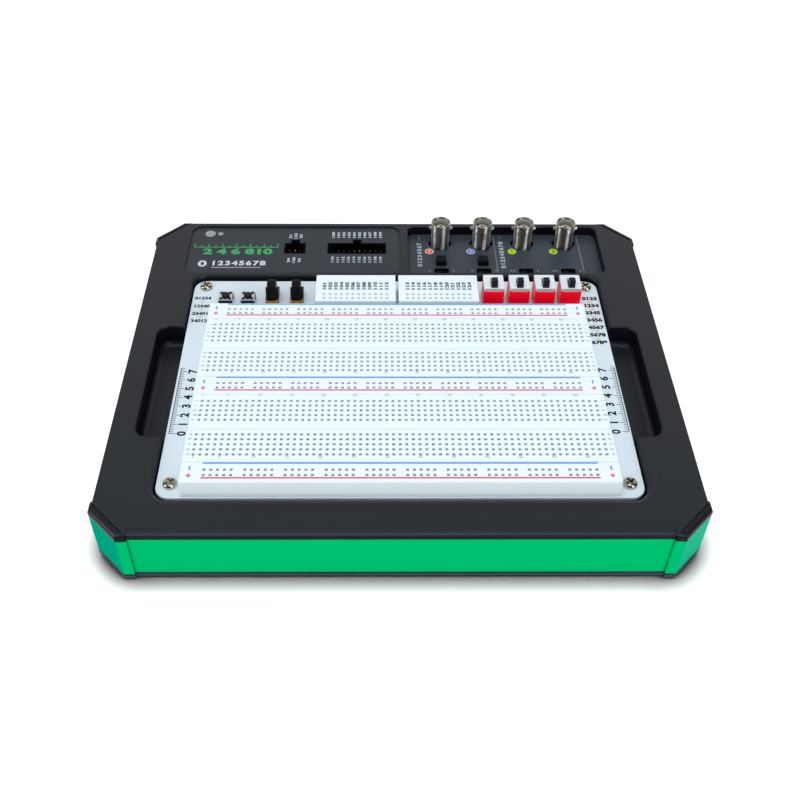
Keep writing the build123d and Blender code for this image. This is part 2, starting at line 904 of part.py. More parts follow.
def rear_rod(x, z, radius, y0, y1):
    return Pos(x, (y0 + y1) / 2, z) * Rot(90, 0, 0) * Cylinder(radius, y1 - y0)


def usb_shell():
    face = half_y - port_face_sink
    x0, x1 = usb_x - usb_width / 2, usb_x + usb_width / 2
    shell = block(x0, x1, face - usb_length, face, z_board_under - usb_height, z_board_under)
    z = z_board_under - usb_height / 2
    half = usb_mouth_width / 2
    shell -= block(usb_x - half, usb_x + half, face - usb_mouth_depth, face,
                   z - usb_mouth_height / 2, z + usb_mouth_height / 2)
    corner = usb_mouth_width / 4
    for side in (-1, 1):
        wedge = [(usb_x + side * half, z + usb_mouth_height / 2),
                 (usb_x + side * (half - corner), z + usb_mouth_height / 2),
                 (usb_x + side * half, z + usb_mouth_height / 2 - corner)]
        flat = make_face(Polyline(*[(px, face - usb_mouth_depth, pz) for px, pz in wedge], close=True))
        shell += extrude(flat, usb_mouth_depth - port_face_sink, dir=(0, 1, 0))
    return shell


def usb_tongue():
    back = half_y - port_face_sink - usb_mouth_depth
    z = z_board_under - usb_height / 2
    return block(usb_x - usb_tongue_width / 2, usb_x + usb_tongue_width / 2, back,
                 back + usb_tongue_length, z - usb_tongue_height / 2, z + usb_tongue_height / 2)


def power_inlet():
    face = half_y - port_face_sink
    z = z_board_under - inlet_height / 2
    body = block(inlet_x - inlet_width / 2, inlet_x + inlet_width / 2, face - inlet_length, face,
                 z_board_under - inlet_height, z_board_under)
    body -= rear_rod(inlet_x, z, inlet_bore_radius, face - inlet_bore_depth, face)
    pin_end = face - inlet_pin_radius
    return body + rear_rod(inlet_x, z, inlet_pin_radius, face - inlet_bore_depth, pin_end)


def audio_socket():
    back_of_panel = half_y - panel_wall - fit_gap
    z = z_board_under - audio_height / 2
    body = block(audio_x - audio_width / 2, audio_x + audio_width / 2,
                 back_of_panel - audio_length, back_of_panel, z_board_under - audio_height,
                 z_board_under)
    tip = back_of_panel + audio_collar
    body += rear_rod(audio_x, z, audio_collar_radius, back_of_panel, tip)
    return body - rear_rod(audio_x, z, audio_bore_radius, tip - audio_bore_depth, tip)


def power_switch_body():
    x, z = power_switch_x, power_switch_z
    inside = half_y - power_switch_length
    body = block(x - power_switch_width / 2, x + power_switch_width / 2, inside, half_y,
                 z - power_switch_height / 2, z + power_switch_height / 2)
    body += block(x - bezel_width / 2, x + bezel_width / 2, half_y, half_y + bezel_thick,
                  z - bezel_height / 2, z + bezel_height / 2)
    pivot = half_y - rocker_pivot_in
    cavity = block(x - rocker_width / 2 - rocker_room, x + rocker_width / 2 + rocker_room,
                   pivot - rocker_depth, half_y + bezel_thick,
                   z - rocker_height / 2 - fit_gap, z + rocker_height / 2 + fit_gap)
    body -= cavity
    reach = rocker_height / 2 + rocker_pin_length + fit_gap
    return body - rod(x, pivot, rocker_pin_radius + fit_gap / 2, z - reach, z + reach)


def power_rocker():
    # A shallow V whose right half stands out at rest.
    half = rocker_width / 2
    rise = half * math.tan(math.radians(rocker_tilt))
    face = rocker_pivot_in - rise
    outline = [(-half, face + rise), (0, face), (half, face + rise),
               (half / 3, -rocker_pivot_in / 2), (-half / 3, -rocker_pivot_in / 2)]
    rocker = prism(outline, -rocker_height / 2, rocker_height / 2)
    reach = rocker_height / 2 + rocker_pin_length
    rocker += rod(0, 0, rocker_pin_radius, -reach, reach)
    placed = Pos(power_switch_x, half_y - rocker_pivot_in, power_switch_z) * Rot(0, 0, rocker_tilt)
    return placed * rocker


def canvas_board():
    board = canvas_outline(0, z_canvas_under, z_canvas)
    for x, y in canvas_screw_places:
        board -= rod(x, y, canvas_screw_radius + fit_gap, z_canvas_under, z_canvas)
    return board


def canvas_screws():
    screws = []
    for x, y in canvas_screw_places:
        top = z_canvas + canvas_screw_head
        screw = rod(x, y, canvas_screw_head_radius, z_canvas, top)
        screw = fillet(screw.edges().sort_by(Axis.Z)[-1], canvas_screw_head * 0.6)
        screw += rod(x, y, canvas_screw_radius, z_canvas - canvas_screw_length, z_canvas)
        screws.append(cross_recess(screw, x, y, top))
    return screws


def column_x(number):
    return (number - (columns + 1) / 2) * hole_pitch


def bank_centre(strip_mid, side):
    return strip_mid + side * (bank_gap / 2 + (bank_rows - 1) / 2 * hole_pitch)


def clip_slot_length():
    return (bank_rows - 1) * hole_pitch + clip_slot_over


def strip_mid(index):
    return breadboard_y + rail_length + strip_length / 2 + index * rail_span


def rail_mid(index):
    return breadboard_y + rail_length / 2 + index * rail_span


def terminal_strip(index):
    mid = strip_mid(index)
    z_slots = z_breadboard - top_skin
    slots = [(column_x(c), bank_centre(mid, side)) for c in range(1, columns + 1) for side in (-1, 1)]
    width = strip_width - seam
    length = strip_length - seam
    strip = pierced_slab(0, mid, width, length, z_canvas, z_slots, slots,
                         clip_slot, clip_slot_length())
    strip += centred_block(0, mid, width, groove_width, z_slots, z_breadboard - groove_depth)
    bank_length = (length - groove_width) / 2
    for side in (-1, 1):
        bank_mid = mid + side * (groove_width + bank_length) / 2
        holes = [(column_x(c), bank_centre(mid, side) + (r - (bank_rows - 1) / 2) * hole_pitch)
                 for c in range(1, columns + 1) for r in range(bank_rows)]
        strip += pierced_slab(0, bank_mid, width, bank_length, z_slots, z_breadboard, holes,
                              hole_size, hole_size)
    return strip


def rail_columns():
    return [rail_first_column + rail_group_step * g + k
            for g in range(rail_groups) for k in range(rail_group_holes)]


def supply_rail(index):
    mid = rail_mid(index)
    z_slots = z_breadboard - top_skin
    width = strip_width - seam
    length = rail_length - seam
    numbers = rail_columns()
    slot_length = column_x(numbers[-1]) - column_x(numbers[0]) + clip_slot_over
    rows = [mid + side * hole_pitch / 2 for side in (-1, 1)]
    middle = (column_x(numbers[-1]) + column_x(numbers[0])) / 2
    rail = pierced_slab(0, mid, width, length, z_canvas, z_slots, [(middle, y) for y in rows],
                        slot_length, clip_slot)
    rail += pierced_slab(0, mid, width, length, z_slots, z_breadboard,
                         [(column_x(c), y) for c in numbers for y in rows], hole_size, hole_size)
    return rail


def channel(width, length):
    # A folded strip of spring metal, open at the top, standing on the canvas.
    outer = Box(width, length, clip_height)
    inner = Pos(0, 0, clip_wall) * Box(width - 2 * clip_wall, length, clip_height)
    return outer - inner


def spring_clips():
    clips = []
    z = z_canvas + clip_height / 2
    clip = channel(clip_width, clip_slot_length() - 2 * fit_gap)
    for index in (0, 1):
        for side in (-1, 1):
            y = bank_centre(strip_mid(index), side)
            clips += [Pos(column_x(c), y, z) * clip for c in range(1, columns + 1)]
    numbers = rail_columns()
    length = column_x(numbers[-1]) - column_x(numbers[0]) + clip_slot_over - 2 * fit_gap
    middle = (column_x(numbers[-1]) + column_x(numbers[0])) / 2
    bar = Rot(0, 0, 90) * channel(clip_width, length)
    for index in (0, 1, 2):
        for side in (-1, 1):
            clips.append(Pos(middle, rail_mid(index) + side * hole_pitch / 2, z) * bar)
    return clips


def pin_socket(index):
    x = socket_centres[index]
    y0 = breadboard_back + socket_behind
    y1 = y0 + socket_length
    holes = [(x + (i - (socket_columns - 1) / 2) * pin_pitch, y0 + socket_row_inset + r * pin_pitch)
             for i in range(socket_columns) for r in range(socket_rows)]
    mid = (y0 + y1) / 2
    z_holes = z_breadboard - socket_hole_depth
    body = centred_block(x, mid, socket_width, socket_length, z_canvas, z_holes)
    return body + pierced_slab(x, mid, socket_width, socket_length, z_holes, z_breadboard, holes,
                               socket_hole, socket_hole)


def button_bases():
    bases = []
    for x in button_places:
        top = z_canvas + button_base_height
        base = centred_block(x, button_y, button_size, button_size, z_canvas, top)
        well = button_flange + button_travel + 2 * button_play
        base -= rod(x, button_y, button_flange_radius + fit_gap, top - well, top)
        bases.append(base)
    return bases


def button_covers():
    covers = []
    for x in button_places:
        z0 = z_canvas + button_base_height
        cover = centred_block(x, button_y, button_size, button_size, z0, z0 + button_sheet)
        cover -= rod(x, button_y, button_stem_radius + fit_gap, z0, z0 + button_sheet)
        for sx in (-1, 1):
            for sy in (-1, 1):
                leg_x = x + sx * (button_size + button_sheet) / 2
                leg_y = button_y + sy * (button_size / 2 - button_leg)
                cover += centred_block(leg_x, leg_y, button_sheet, button_leg,
                                       z_canvas, z0 + button_sheet)
        covers.append(cover)
    return covers


def button_cap(index):
    x = button_places[index]
    cover_under = z_canvas + button_base_height
    flange_top = cover_under - button_play
    cap = rod(x, button_y, button_flange_radius, flange_top - button_flange, flange_top)
    stem_top = cover_under + button_sheet + button_stem_over
    cap += rod(x, button_y, button_stem_radius, flange_top, stem_top)
    return chamfer(cap.edges().sort_by(Axis.Z)[-1], button_sheet / 2)


def dial_bases():
    bases = []
    for x in dial_places:
        y0, y1 = dial_y - dial_base_front, dial_y + dial_base_back
        base = block(x - dial_base_width / 2, x + dial_base_width / 2, y0, y1,
                     z_canvas, z_canvas + dial_base_height)
        axle_z = z_canvas + dial_axle_over
        base += block(x - dial_base_width / 2, x + dial_base_width / 2, dial_y - dial_ear_half,
                      dial_y + dial_ear_half, z_canvas, axle_z)
        base += Pos(x, dial_y, axle_z) * Rot(0, 90, 0) * Cylinder(dial_ear_half, dial_base_width)
        slot_reach = dial_radius + 2 * dial_slot_gap
        slot_half = dial_width / 2 + dial_slot_gap
        slot = Pos(x, dial_y, axle_z) * Rot(0, 90, 0) * Cylinder(slot_reach, 2 * slot_half)
        base -= slot
        bore = dial_axle_radius + dial_running_gap
        base -= Pos(x, dial_y, axle_z) * Rot(0, 90, 0) * Cylinder(bore, dial_base_width)
        bases.append(base)
    return bases


def dial(index):
    x = dial_places[index]
    wheel = Cylinder(dial_radius, dial_width)
    wheel = chamfer(wheel.edges().filter_by(GeomType.CIRCLE), dial_edge)
    rib_radius = math.pi * dial_radius / dial_ribs / 2
    cuts = [Rot(0, 0, 360 / dial_ribs * i) * Pos(dial_radius + rib_radius - dial_rib_depth, 0, 0)
            * Cylinder(rib_radius, dial_width) for i in range(dial_ribs)]
    wheel -= cuts
    wheel += Cylinder(dial_axle_radius, dial_base_width)
    return Pos(x, dial_y, z_canvas + dial_axle_over) * Rot(0, 90, 0) * wheel


def switch_bodies():
    return [block(x - switch_width / 2, x + switch_width / 2, switch_y, switch_y + switch_length,
                  z_canvas, z_canvas + switch_body_height) for x in switch_places]


def lever_front():
    return switch_y + lever_set_back


def switch_covers():
    covers = []
    z0 = z_canvas + switch_body_height
    z1 = z0 + switch_cover_height
    for x in switch_places:
        half = switch_width / 2 - switch_cover_inset
        cover = block(x - half, x + half, switch_y, switch_y + switch_length, z0, z1)
        wall = switch_cavity_wall
        cavity_half = lever_plate_width / 2 + fit_gap
        cavity_end = lever_front() + lever_length + lever_travel + fit_gap
        cover -= block(x - cavity_half, x + cavity_half, switch_y + wall, cavity_end,
                       z0, z0 + switch_cavity_height)
        slot_half = lever_width / 2 + fit_gap
        cover -= block(x - slot_half, x + slot_half, lever_front() - fit_gap, cavity_end, z0, z1)
        for side in (-1, 1):
            x0, x1 = sorted((x + side * half, x + side * (half - switch_notch)))
            cover -= block(x0, x1, switch_y, switch_y + switch_notch, z0, z1 - switch_notch)
        covers.append(cover)
    return covers


def switch_lever(index):
    x = switch_places[index]
    z0 = z_canvas + switch_body_height + fit_gap / 2
    top = z_canvas + switch_body_height + switch_cover_height + lever_over
    y0, y1 = lever_front(), lever_front() + lever_length
    lever = block(x - lever_width / 2, x + lever_width / 2, y0, y1, z0, top)
    lever = fillet(lever.faces().sort_by(Axis.Z)[-1].edges(), lever_round)
    plate = block(x - lever_plate_width / 2, x + lever_plate_width / 2, y0, y1,
                  z0, z0 + lever_plate_height)
    return lever + plate


def canvas_lights():
    places = [(left_light_x, y) for y in left_light_y] + [(right_light_x, y) for y in right_light_y]
    return [centred_block(x, y, light_width, light_length, z_canvas, z_canvas + light_height)
            for x, y in places]


def save(name, shape):
    if isinstance(shape, (list, tuple)):
        shape = Compound(children=[s.solid() for s in shape])
    export_step(shape, os.path.join("parts", name + ".step"))


os.makedirs("parts", exist_ok=True)
for make in (top_cover, bottom_cover, front_panel, rear_panel, side_panels, corner_posts,
             rubber_feet, case_screws, main_board, board_screws, jack_shells, jack_insulators,
             jack_contacts, wide_header, small_header, header_pins, coupling_headers,
             selector_bodies, light_windows, processor_chip, shield_can, power_capacitors,
             link_plugs, link_sockets, usb_shell, usb_tongue, power_inlet, audio_socket,
             power_switch_body, power_rocker, canvas_board, canvas_screws, spring_clips,
             button_bases, button_covers, dial_bases, switch_bodies, switch_covers, canvas_lights):
    save(make.__name__, make())
for number in range(jumper_count):
    save(f"coupling_jumper_{number + 1}", coupling_jumper(number))
for number in range(jack_count):
    save(f"selector_slider_{number + 1}", selector_slider(number))
for number, place in enumerate(("front", "rear")):
    save(f"terminal_strip_{place}", terminal_strip(number))
for number, place in enumerate(("front", "middle", "rear")):
    save(f"supply_rail_{place}", supply_rail(number))
for number, place in enumerate(("left", "right")):
    save(f"pin_socket_{place}", pin_socket(number))
for number in range(button_count):
    save(f"button_cap_{number + 1}", button_cap(number))
for number in range(dial_count):
    save(f"dial_{number + 1}", dial(number))
for number in range(switch_count):
    save(f"switch_lever_{number + 1}", switch_lever(number))
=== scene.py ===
import json
import math

import bmesh
import bpy
from mathutils import Matrix, Vector


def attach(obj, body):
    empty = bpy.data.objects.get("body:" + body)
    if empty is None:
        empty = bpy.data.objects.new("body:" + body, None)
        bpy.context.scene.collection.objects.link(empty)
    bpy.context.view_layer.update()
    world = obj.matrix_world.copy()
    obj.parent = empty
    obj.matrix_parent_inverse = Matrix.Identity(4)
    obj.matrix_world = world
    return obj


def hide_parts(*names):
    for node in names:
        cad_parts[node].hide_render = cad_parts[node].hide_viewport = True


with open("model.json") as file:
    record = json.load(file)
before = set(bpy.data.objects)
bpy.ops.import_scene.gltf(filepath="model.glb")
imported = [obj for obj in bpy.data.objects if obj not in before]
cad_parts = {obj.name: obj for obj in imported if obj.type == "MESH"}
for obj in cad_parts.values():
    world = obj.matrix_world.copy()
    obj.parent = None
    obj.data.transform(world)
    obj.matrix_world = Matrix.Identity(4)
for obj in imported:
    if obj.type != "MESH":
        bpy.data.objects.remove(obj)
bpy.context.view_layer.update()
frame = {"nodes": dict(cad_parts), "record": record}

# It was found from the breadboard's holes, whose pitch is known. The eye's place is in metres;
# the photograph's side, the aim of the lens and its focal length are in pixels.
photo_side = 800
aim_across, aim_down = 385.9, 353.1
focal_length = 1017.9
film_width = 36
eye = (-0.0097, -0.3136, 0.3296)
pitch, yaw, roll = (math.radians(angle) for angle in (43.81, -0.845, 0.629))
level = Vector((math.cos(yaw), math.sin(yaw), 0))
ahead = Vector((-math.sin(yaw), math.cos(yaw), 0))
sight = ahead * math.cos(pitch) - Vector((0, 0, math.sin(pitch)))
above = ahead * math.sin(pitch) + Vector((0, 0, math.cos(pitch)))
right = level * math.cos(roll) + above * math.sin(roll)
up = above * math.cos(roll) - level * math.sin(roll)
lens = bpy.data.cameras.new("standpoint")
lens.lens = film_width * focal_length / photo_side
lens.shift_x = (photo_side / 2 - aim_across) / photo_side
lens.shift_y = (aim_down - photo_side / 2) / photo_side
lens.clip_start, lens.clip_end = 0.01, 30
standpoint = bpy.data.objects.new("standpoint", lens)
facing = Matrix((right, up, -sight)).transposed().to_4x4()
standpoint.matrix_world = Matrix.Translation(eye) @ facing
bpy.context.scene.collection.objects.link(standpoint)
bpy.context.scene.camera = standpoint

table_reach = 6
mottle_scale = 9
paper_dim, paper_pale, paper_white = (0.66, 0.66, 0.66), (0.70, 0.70, 0.70), (1, 1, 1)
painted_shadow_reach = 0.01
painted_shadow_steps = ((0.62, (0.035, 0.030, 0.032)), (0.72, (0.49, 0.475, 0.48)), (0.95, (1, 1, 1)))
glow_tint = (1, 0.92, 0.94)
glow_power = 0.32


def feed(tree, socket, value):
    """Gives a socket a number, a colour or another node's result."""
    if isinstance(value, bpy.types.NodeSocket):
        tree.links.new(value, socket)
    elif isinstance(value, (int, float)):
        socket.default_value = value
    else:
        socket.default_value = (*value, 1)


def reckon(tree, kind, *values):
    """What a kind of sum makes of numbers or other nodes' results."""
    node = tree.nodes.new("ShaderNodeMath")
    node.operation = kind
    for socket, value in zip(node.inputs, values):
        feed(tree, socket, value)
    return node.outputs[0]


def tinted(tree, first, second, share, blend="MIX"):
    """The first colour turned into the second by a share from 0 to 1."""
    mix = tree.nodes.new("ShaderNodeMix")
    mix.data_type = "RGBA"
    mix.blend_type = blend
    for place, value in ((0, share), (6, first), (7, second)):
        feed(tree, mix.inputs[place], value)
    return mix.outputs[2]


def graded(tree, source, steps):
    """Colours that follow a number, from three steps of a place and a colour."""
    ramp = tree.nodes.new("ShaderNodeValToRGB")
    stops = ramp.color_ramp.elements
    for stop, (place, colour) in zip(stops, (steps[0], steps[2])):
        stop.position = place
        stop.color = (*colour, 1)
    stops.new(steps[1][0]).color = (*steps[1][1], 1)
    tree.links.new(source, ramp.inputs[0])
    return ramp.outputs[0]


table = bpy.data.meshes.new("table")
table.from_pydata([(x * table_reach, y * table_reach, 0)
                   for x, y in ((-1, -1), (1, -1), (1, 1), (-1, 1))], [], [(0, 1, 2, 3)])
table_top = bpy.data.objects.new("table_top", table)
bpy.context.scene.collection.objects.link(table_top)
paper = bpy.data.materials.new("table_paper")
paper.use_nodes = True
tree = paper.node_tree
shader = tree.nodes["Principled BSDF"]
shader.inputs["Roughness"].default_value = 0.9
shader.inputs["Specular IOR Level"].default_value = 0.1
rays = tree.nodes.new("ShaderNodeLightPath").outputs
seen = reckon(tree, "MAXIMUM", rays["Is Camera Ray"], rays["Is Glossy Ray"])
mottle = tree.nodes.new("ShaderNodeTexNoise")
mottle.inputs["Scale"].default_value = mottle_scale
# Painted shadow: an occlusion node darkens the paper's colour and its glow near the case's foot,
# where the case's shadow falls.
shadow_occlusion = tree.nodes.new("ShaderNodeAmbientOcclusion")
shadow_occlusion.inputs["Distance"].default_value = painted_shadow_reach
shadow_occlusion.samples = 4
painted_shadow = graded(tree, shadow_occlusion.outputs["AO"], painted_shadow_steps)
tone = tinted(tree, tinted(tree, paper_dim, paper_pale, mottle.outputs["Fac"]), paper_white, seen)
feed(tree, shader.inputs["Base Color"], tinted(tree, tone, painted_shadow, 1, "MULTIPLY"))
feed(tree, shader.inputs["Emission Color"], tinted(tree, painted_shadow, glow_tint, 1, "MULTIPLY"))
feed(tree, shader.inputs["Emission Strength"], reckon(tree, "MULTIPLY", seen, glow_power))
table.materials.append(paper)

# The light: a pale room all round, one broad soft lamp overhead and weaker ones in front.
room_light, room_power = (0.90, 0.96, 1), 0.62
wall_steps = ((0.60, (1, 1, 1)), (0.81, (0.42, 0.45, 0.49)), (0.93, (0.10, 0.11, 0.12)))
front_end, back_start, front_power = 0.30, 0.62, 0.05
patch_edge, patch_core, patch_power = 0.965, 0.985, 5.0
streaks = ((-1.33, 0.22, 6.0), (0.70, 0.24, 6.5))
streak_core, streak_top, streak_fade = 0.7, 0.85, 0.75
streak_light = (0.8, 0.8, 0.8)
lamp_light = (0.95, 0.98, 1)
lamps = (("lamp_overhead", (-0.15, -0.1, 1.4), 0.9, 8.0),
         ("lamp_front", (0.0, -1.5, 0.35), 0.8, 4.0),
         ("lamp_left", (-1.15, -1.05, 0.55), 0.7, 5.0),
         ("lamp_right", (1.10, -1.10, 0.55), 0.7, 6.0))


def ramped(tree, source, start, stop, low, high):
    """A number led from start to stop into low to high, and held at either end."""
    band = tree.nodes.new("ShaderNodeMapRange")
    for key, value in (("From Min", start), ("From Max", stop), ("To Min", low), ("To Max", high)):
        band.inputs[key].default_value = value
    tree.links.new(source, band.inputs["Value"])
    return band.outputs["Result"]


def parted(tree, source):
    """The X, Y and Z of a place or a direction."""
    split = tree.nodes.new("ShaderNodeSeparateXYZ")
    tree.links.new(source, split.inputs[0])
    return split.outputs


def lit(tree, colour, power):
    """A stretch of the room, lit with a colour and a power."""
    node = tree.nodes.new("ShaderNodeBackground")
    feed(tree, node.inputs["Color"], colour)
    feed(tree, node.inputs["Strength"], power)
    return node.outputs[0]


def joined(tree, kind, *values):
    """Lit stretches joined by a kind of node."""
    node = tree.nodes.new(kind)
    for socket, value in zip(node.inputs, values):
        tree.links.new(value, socket)
    return node.outputs[0]


room = bpy.data.worlds.new("room")
bpy.context.scene.world = room
room.use_nodes = True
tree = room.node_tree
tree.nodes.clear()
rays = tree.nodes.new("ShaderNodeLightPath").outputs
seen = reckon(tree, "MAXIMUM", rays["Is Camera Ray"], rays["Is Glossy Ray"])
seen = reckon(tree, "MAXIMUM", seen, rays["Is Transmission Ray"])
way = parted(tree, tree.nodes.new("ShaderNodeTexCoord").outputs["Generated"])
walls = lit(tree, graded(tree, way["Z"], wall_steps),
            ramped(tree, way["Y"], front_end, back_start, front_power, 1.0))
turn = reckon(tree, "ARCTAN2", way["X"], reckon(tree, "MULTIPLY", way["Y"], -1.0))
glare = ramped(tree, way["Z"], patch_edge, patch_core, 0.0, patch_power)
low_part = ramped(tree, way["Z"], streak_fade, streak_top, 1.0, 0.0)
for bearing, half, power in streaks:
    aside = reckon(tree, "ABSOLUTE", reckon(tree, "SUBTRACT", turn, bearing))
    streak = ramped(tree, aside, half * streak_core, half, power, 0.0)
    glare = reckon(tree, "ADD", glare, reckon(tree, "MULTIPLY", streak, low_part))
gloss_room = joined(tree, "ShaderNodeAddShader", walls, lit(tree, streak_light, glare))
white_room = joined(tree, "ShaderNodeMixShader", rays["Is Glossy Ray"],
                    lit(tree, paper_white, 1), gloss_room)
whole_room = joined(tree, "ShaderNodeMixShader", seen, lit(tree, room_light, room_power), white_room)
tree.links.new(whole_room, tree.nodes.new("ShaderNodeOutputWorld").inputs[0])
for name, place, size, power in lamps:
    lamp = bpy.data.lights.new(name, "AREA")
    lamp.shape = "DISK"
    lamp.size = size
    lamp.energy = power
    lamp.color = lamp_light
    hung = bpy.data.objects.new(name, lamp)
    hung.location = place
    hung.visible_glossy = False
    hung.rotation_euler = (-Vector(place)).to_track_quat("-Z", "Y").to_euler()
    bpy.context.scene.collection.objects.link(hung)
bpy.context.scene.view_settings.view_transform = "Standard"

# Bottom cover: a shallow tray moulded in dark blue-grey plastic, of which only the lip shows.
# Its edges are eased by the mould, and above the lip its colour is painted nearly black as shade.
# Sizes of materials and of eased edges are in metres, here and in all that follows.
rides_on = {node: body for body, group in frame["record"]["behaviour"]["bodies"].items()
            for node in group}
noise_low, noise_high = 0.3, 0.7
grain_drift = 0.05
colour_cloud = 0.02
weld_gap = 2e-6
flat_angle = 0.012
sharp_angle = math.radians(32)
eased_angle = math.radians(38)
lip_top = 0.0031
shade = (0.003, 0.007, 0.009)


def cloudy(tree, place, size, detail):
    """Clouds of a size, fixed to the piece, as a number from 0 to 1."""
    noise = tree.nodes.new("ShaderNodeTexNoise")
    noise.inputs["Scale"].default_value = 1 / size
    noise.inputs["Detail"].default_value = detail
    tree.links.new(place, noise.inputs["Vector"])
    return noise.outputs["Fac"]


def drifting(tree, clouds, colour, drift):
    """A colour that drifts darker and lighter by a share, as clouds do."""
    darker = [channel * (1 - drift) for channel in colour]
    lighter = [channel * (1 + drift) for channel in colour]
    return tinted(tree, darker, lighter, clouds)


def moulded(name, colour, roughness, grain=0.0003, relief=0.000004, drift=0.05, specular=0.5):
    """Plastic, rubber or ink, with a fine grain in its roughness and its relief."""
    material = bpy.data.materials.new(name)
    material.use_nodes = True
    tree = material.node_tree
    shader = tree.nodes["Principled BSDF"]
    shader.inputs["Specular IOR Level"].default_value = specular
    place = tree.nodes.new("ShaderNodeTexCoord").outputs["Object"]
    feed(tree, shader.inputs["Base Color"],
         drifting(tree, cloudy(tree, place, colour_cloud, 4), colour, drift))
    fine = cloudy(tree, place, grain, 3)
    feed(tree, shader.inputs["Roughness"],
         ramped(tree, fine, noise_low, noise_high, roughness - grain_drift, roughness + grain_drift))
    bump = tree.nodes.new("ShaderNodeBump")
    bump.inputs["Distance"].default_value = relief
    feed(tree, bump.inputs["Height"], fine)
    feed(tree, shader.inputs["Normal"], bump.outputs["Normal"])
    return material


def overlaid(material, colour, share):
    """Lays a colour over a material's own by a share from 0 to 1."""
    tree = material.node_tree
    base = tree.nodes["Principled BSDF"].inputs["Base Color"]
    feed(tree, base, tinted(tree, base.links[0].from_socket, colour, share))


def banded(material, test, height, colour, margin=0.0, axis="Z"):
    """Another colour where a point's place along an axis passes a test against a height."""
    tree = material.node_tree
    place = parted(tree, tree.nodes.new("ShaderNodeTexCoord").outputs["Object"])
    overlaid(material, colour, reckon(tree, test, place[axis], height, margin))


def dressed(node, material):
    """Gives a CAD node its material and leaves its form alone."""
    part = frame["nodes"][node]
    part.data.materials.clear()
    part.data.materials.append(material)


def eased(node, material, width, segments=2):
    """Shows a copy of a CAD node, with its edges eased, in the node's place."""
    form = bmesh.new()
    form.from_mesh(frame["nodes"][node].data)
    bmesh.ops.remove_doubles(form, verts=form.verts, dist=weld_gap)
    bmesh.ops.dissolve_limit(form, angle_limit=flat_angle, verts=form.verts, edges=form.edges)
    mesh = bpy.data.meshes.new(node + "_eased")
    form.to_mesh(mesh)
    form.free()
    mesh.materials.clear()
    mesh.materials.append(material)
    mesh.shade_smooth()
    mesh.set_sharp_from_angle(angle=sharp_angle)
    piece = bpy.data.objects.new(node + "_eased", mesh)
    bpy.context.scene.collection.objects.link(piece)
    edge = piece.modifiers.new("edge", "BEVEL")
    edge.width = width
    edge.segments = segments
    edge.limit_method = "ANGLE"
    edge.angle_limit = eased_angle
    flat = piece.modifiers.new("flat", "WEIGHTED_NORMAL")
    flat.keep_sharp = True
    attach(piece, rides_on[node])
    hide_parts(node)
    return piece


tray_plastic = moulded("tray_plastic", (0.030, 0.066, 0.080), roughness=0.42, specular=0.2)
# Painted shade: above the lip's top the tray is coloured nearly black.
banded(tray_plastic, "GREATER_THAN", lip_top, shade)
eased("bottom_cover", tray_plastic, width=0.0003)

# Rubber feet: four round pads pressed into seats under the tray, dull black and finely pitted.
# The case screws beside them are zinc plated, with a cross recess.
cloud_in_streaks = 6
streak_drift = 0.3
foot_rubber = moulded("foot_rubber", (0.02, 0.02, 0.021), roughness=0.8, grain=0.0005,
                      relief=0.00002, specular=0.2)
dressed("rubber_feet", foot_rubber)


def metal(name, colour, roughness, streak=0.0004, drift=0.06):
    """Bare or plated metal, with fine streaks in its roughness and wider clouds in its colour."""
    material = bpy.data.materials.new(name)
    material.use_nodes = True
    tree = material.node_tree
    shader = tree.nodes["Principled BSDF"]
    shader.inputs["Metallic"].default_value = 1
    place = tree.nodes.new("ShaderNodeTexCoord").outputs["Object"]
    feed(tree, shader.inputs["Base Color"],
         drifting(tree, cloudy(tree, place, streak * cloud_in_streaks, 3), colour, drift))
    fine = cloudy(tree, place, streak, 2)
    feed(tree, shader.inputs["Roughness"],
         ramped(tree, fine, noise_low, noise_high, roughness * (1 - streak_drift),
                roughness * (1 + streak_drift)))
    return material


zinc = metal("zinc_plate", (0.50, 0.47, 0.41), roughness=0.22)
dressed("case_screws", zinc)

# Main board: a green circuit board on standoffs inside the tray, with its screws and the parts
# soldered to it. Nothing of it shows but through the cut-outs of the cover.
solder_mask = moulded("solder_mask", (0.012, 0.075, 0.035), roughness=0.3, grain=0.001, drift=0.15)
dressed("main_board", solder_mask)
dressed("board_screws", zinc)
dressed("processor_chip", moulded("chip_epoxy", (0.012, 0.012, 0.013), roughness=0.5))
tinned = metal("tinned_sheet", (0.62, 0.62, 0.62), roughness=0.3)
dressed("shield_can", tinned)
dressed("power_capacitors", moulded("capacitor_sleeve", (0.01, 0.014, 0.04), roughness=0.25))
black_nylon = moulded("black_nylon", (0.004, 0.004, 0.005), roughness=0.42, specular=0.1)
for node in ("link_plugs", "link_sockets", "coupling_headers", "selector_bodies"):
    dressed(node, black_nylon)

# Green band: four panels and four corner posts moulded in one green plastic, set between the
# covers. The seams beside the posts are open lines; the face is satin with a very fine grain.
# The slanting faces of the posts are a teal green, painted lighter on the right as light and darker
# and duller on the left as shade.
satin = dict(roughness=0.5, grain=0.0004, relief=0.000003)
slant_share = 0.3
green_plastic = moulded("green_plastic", (0.0, 0.47, 0.145), drift=0.03, specular=0.0, **satin)
post_teal_painted_light = moulded("post_teal_painted_light", (0.0, 0.46, 0.25), drift=0.04, specular=0.01, **satin)
post_teal_painted_shade = moulded("post_teal_painted_shade", (0.0, 0.37, 0.215), drift=0.04, specular=0.0, **satin)
for node in ("front_panel", "rear_panel", "side_panels"):
    eased(node, green_plastic, width=0.00015)
posts = eased("corner_posts", green_plastic, width=0.0002)
posts.data.materials.append(post_teal_painted_light)
posts.data.materials.append(post_teal_painted_shade)
# Painted light and shade: right slanting faces take the lighter teal, left ones the darker teal.
for face in posts.data.polygons:
    if min(abs(face.normal.x), abs(face.normal.y)) > slant_share:
        face.material_index = 1 if face.normal.x > 0 else 2

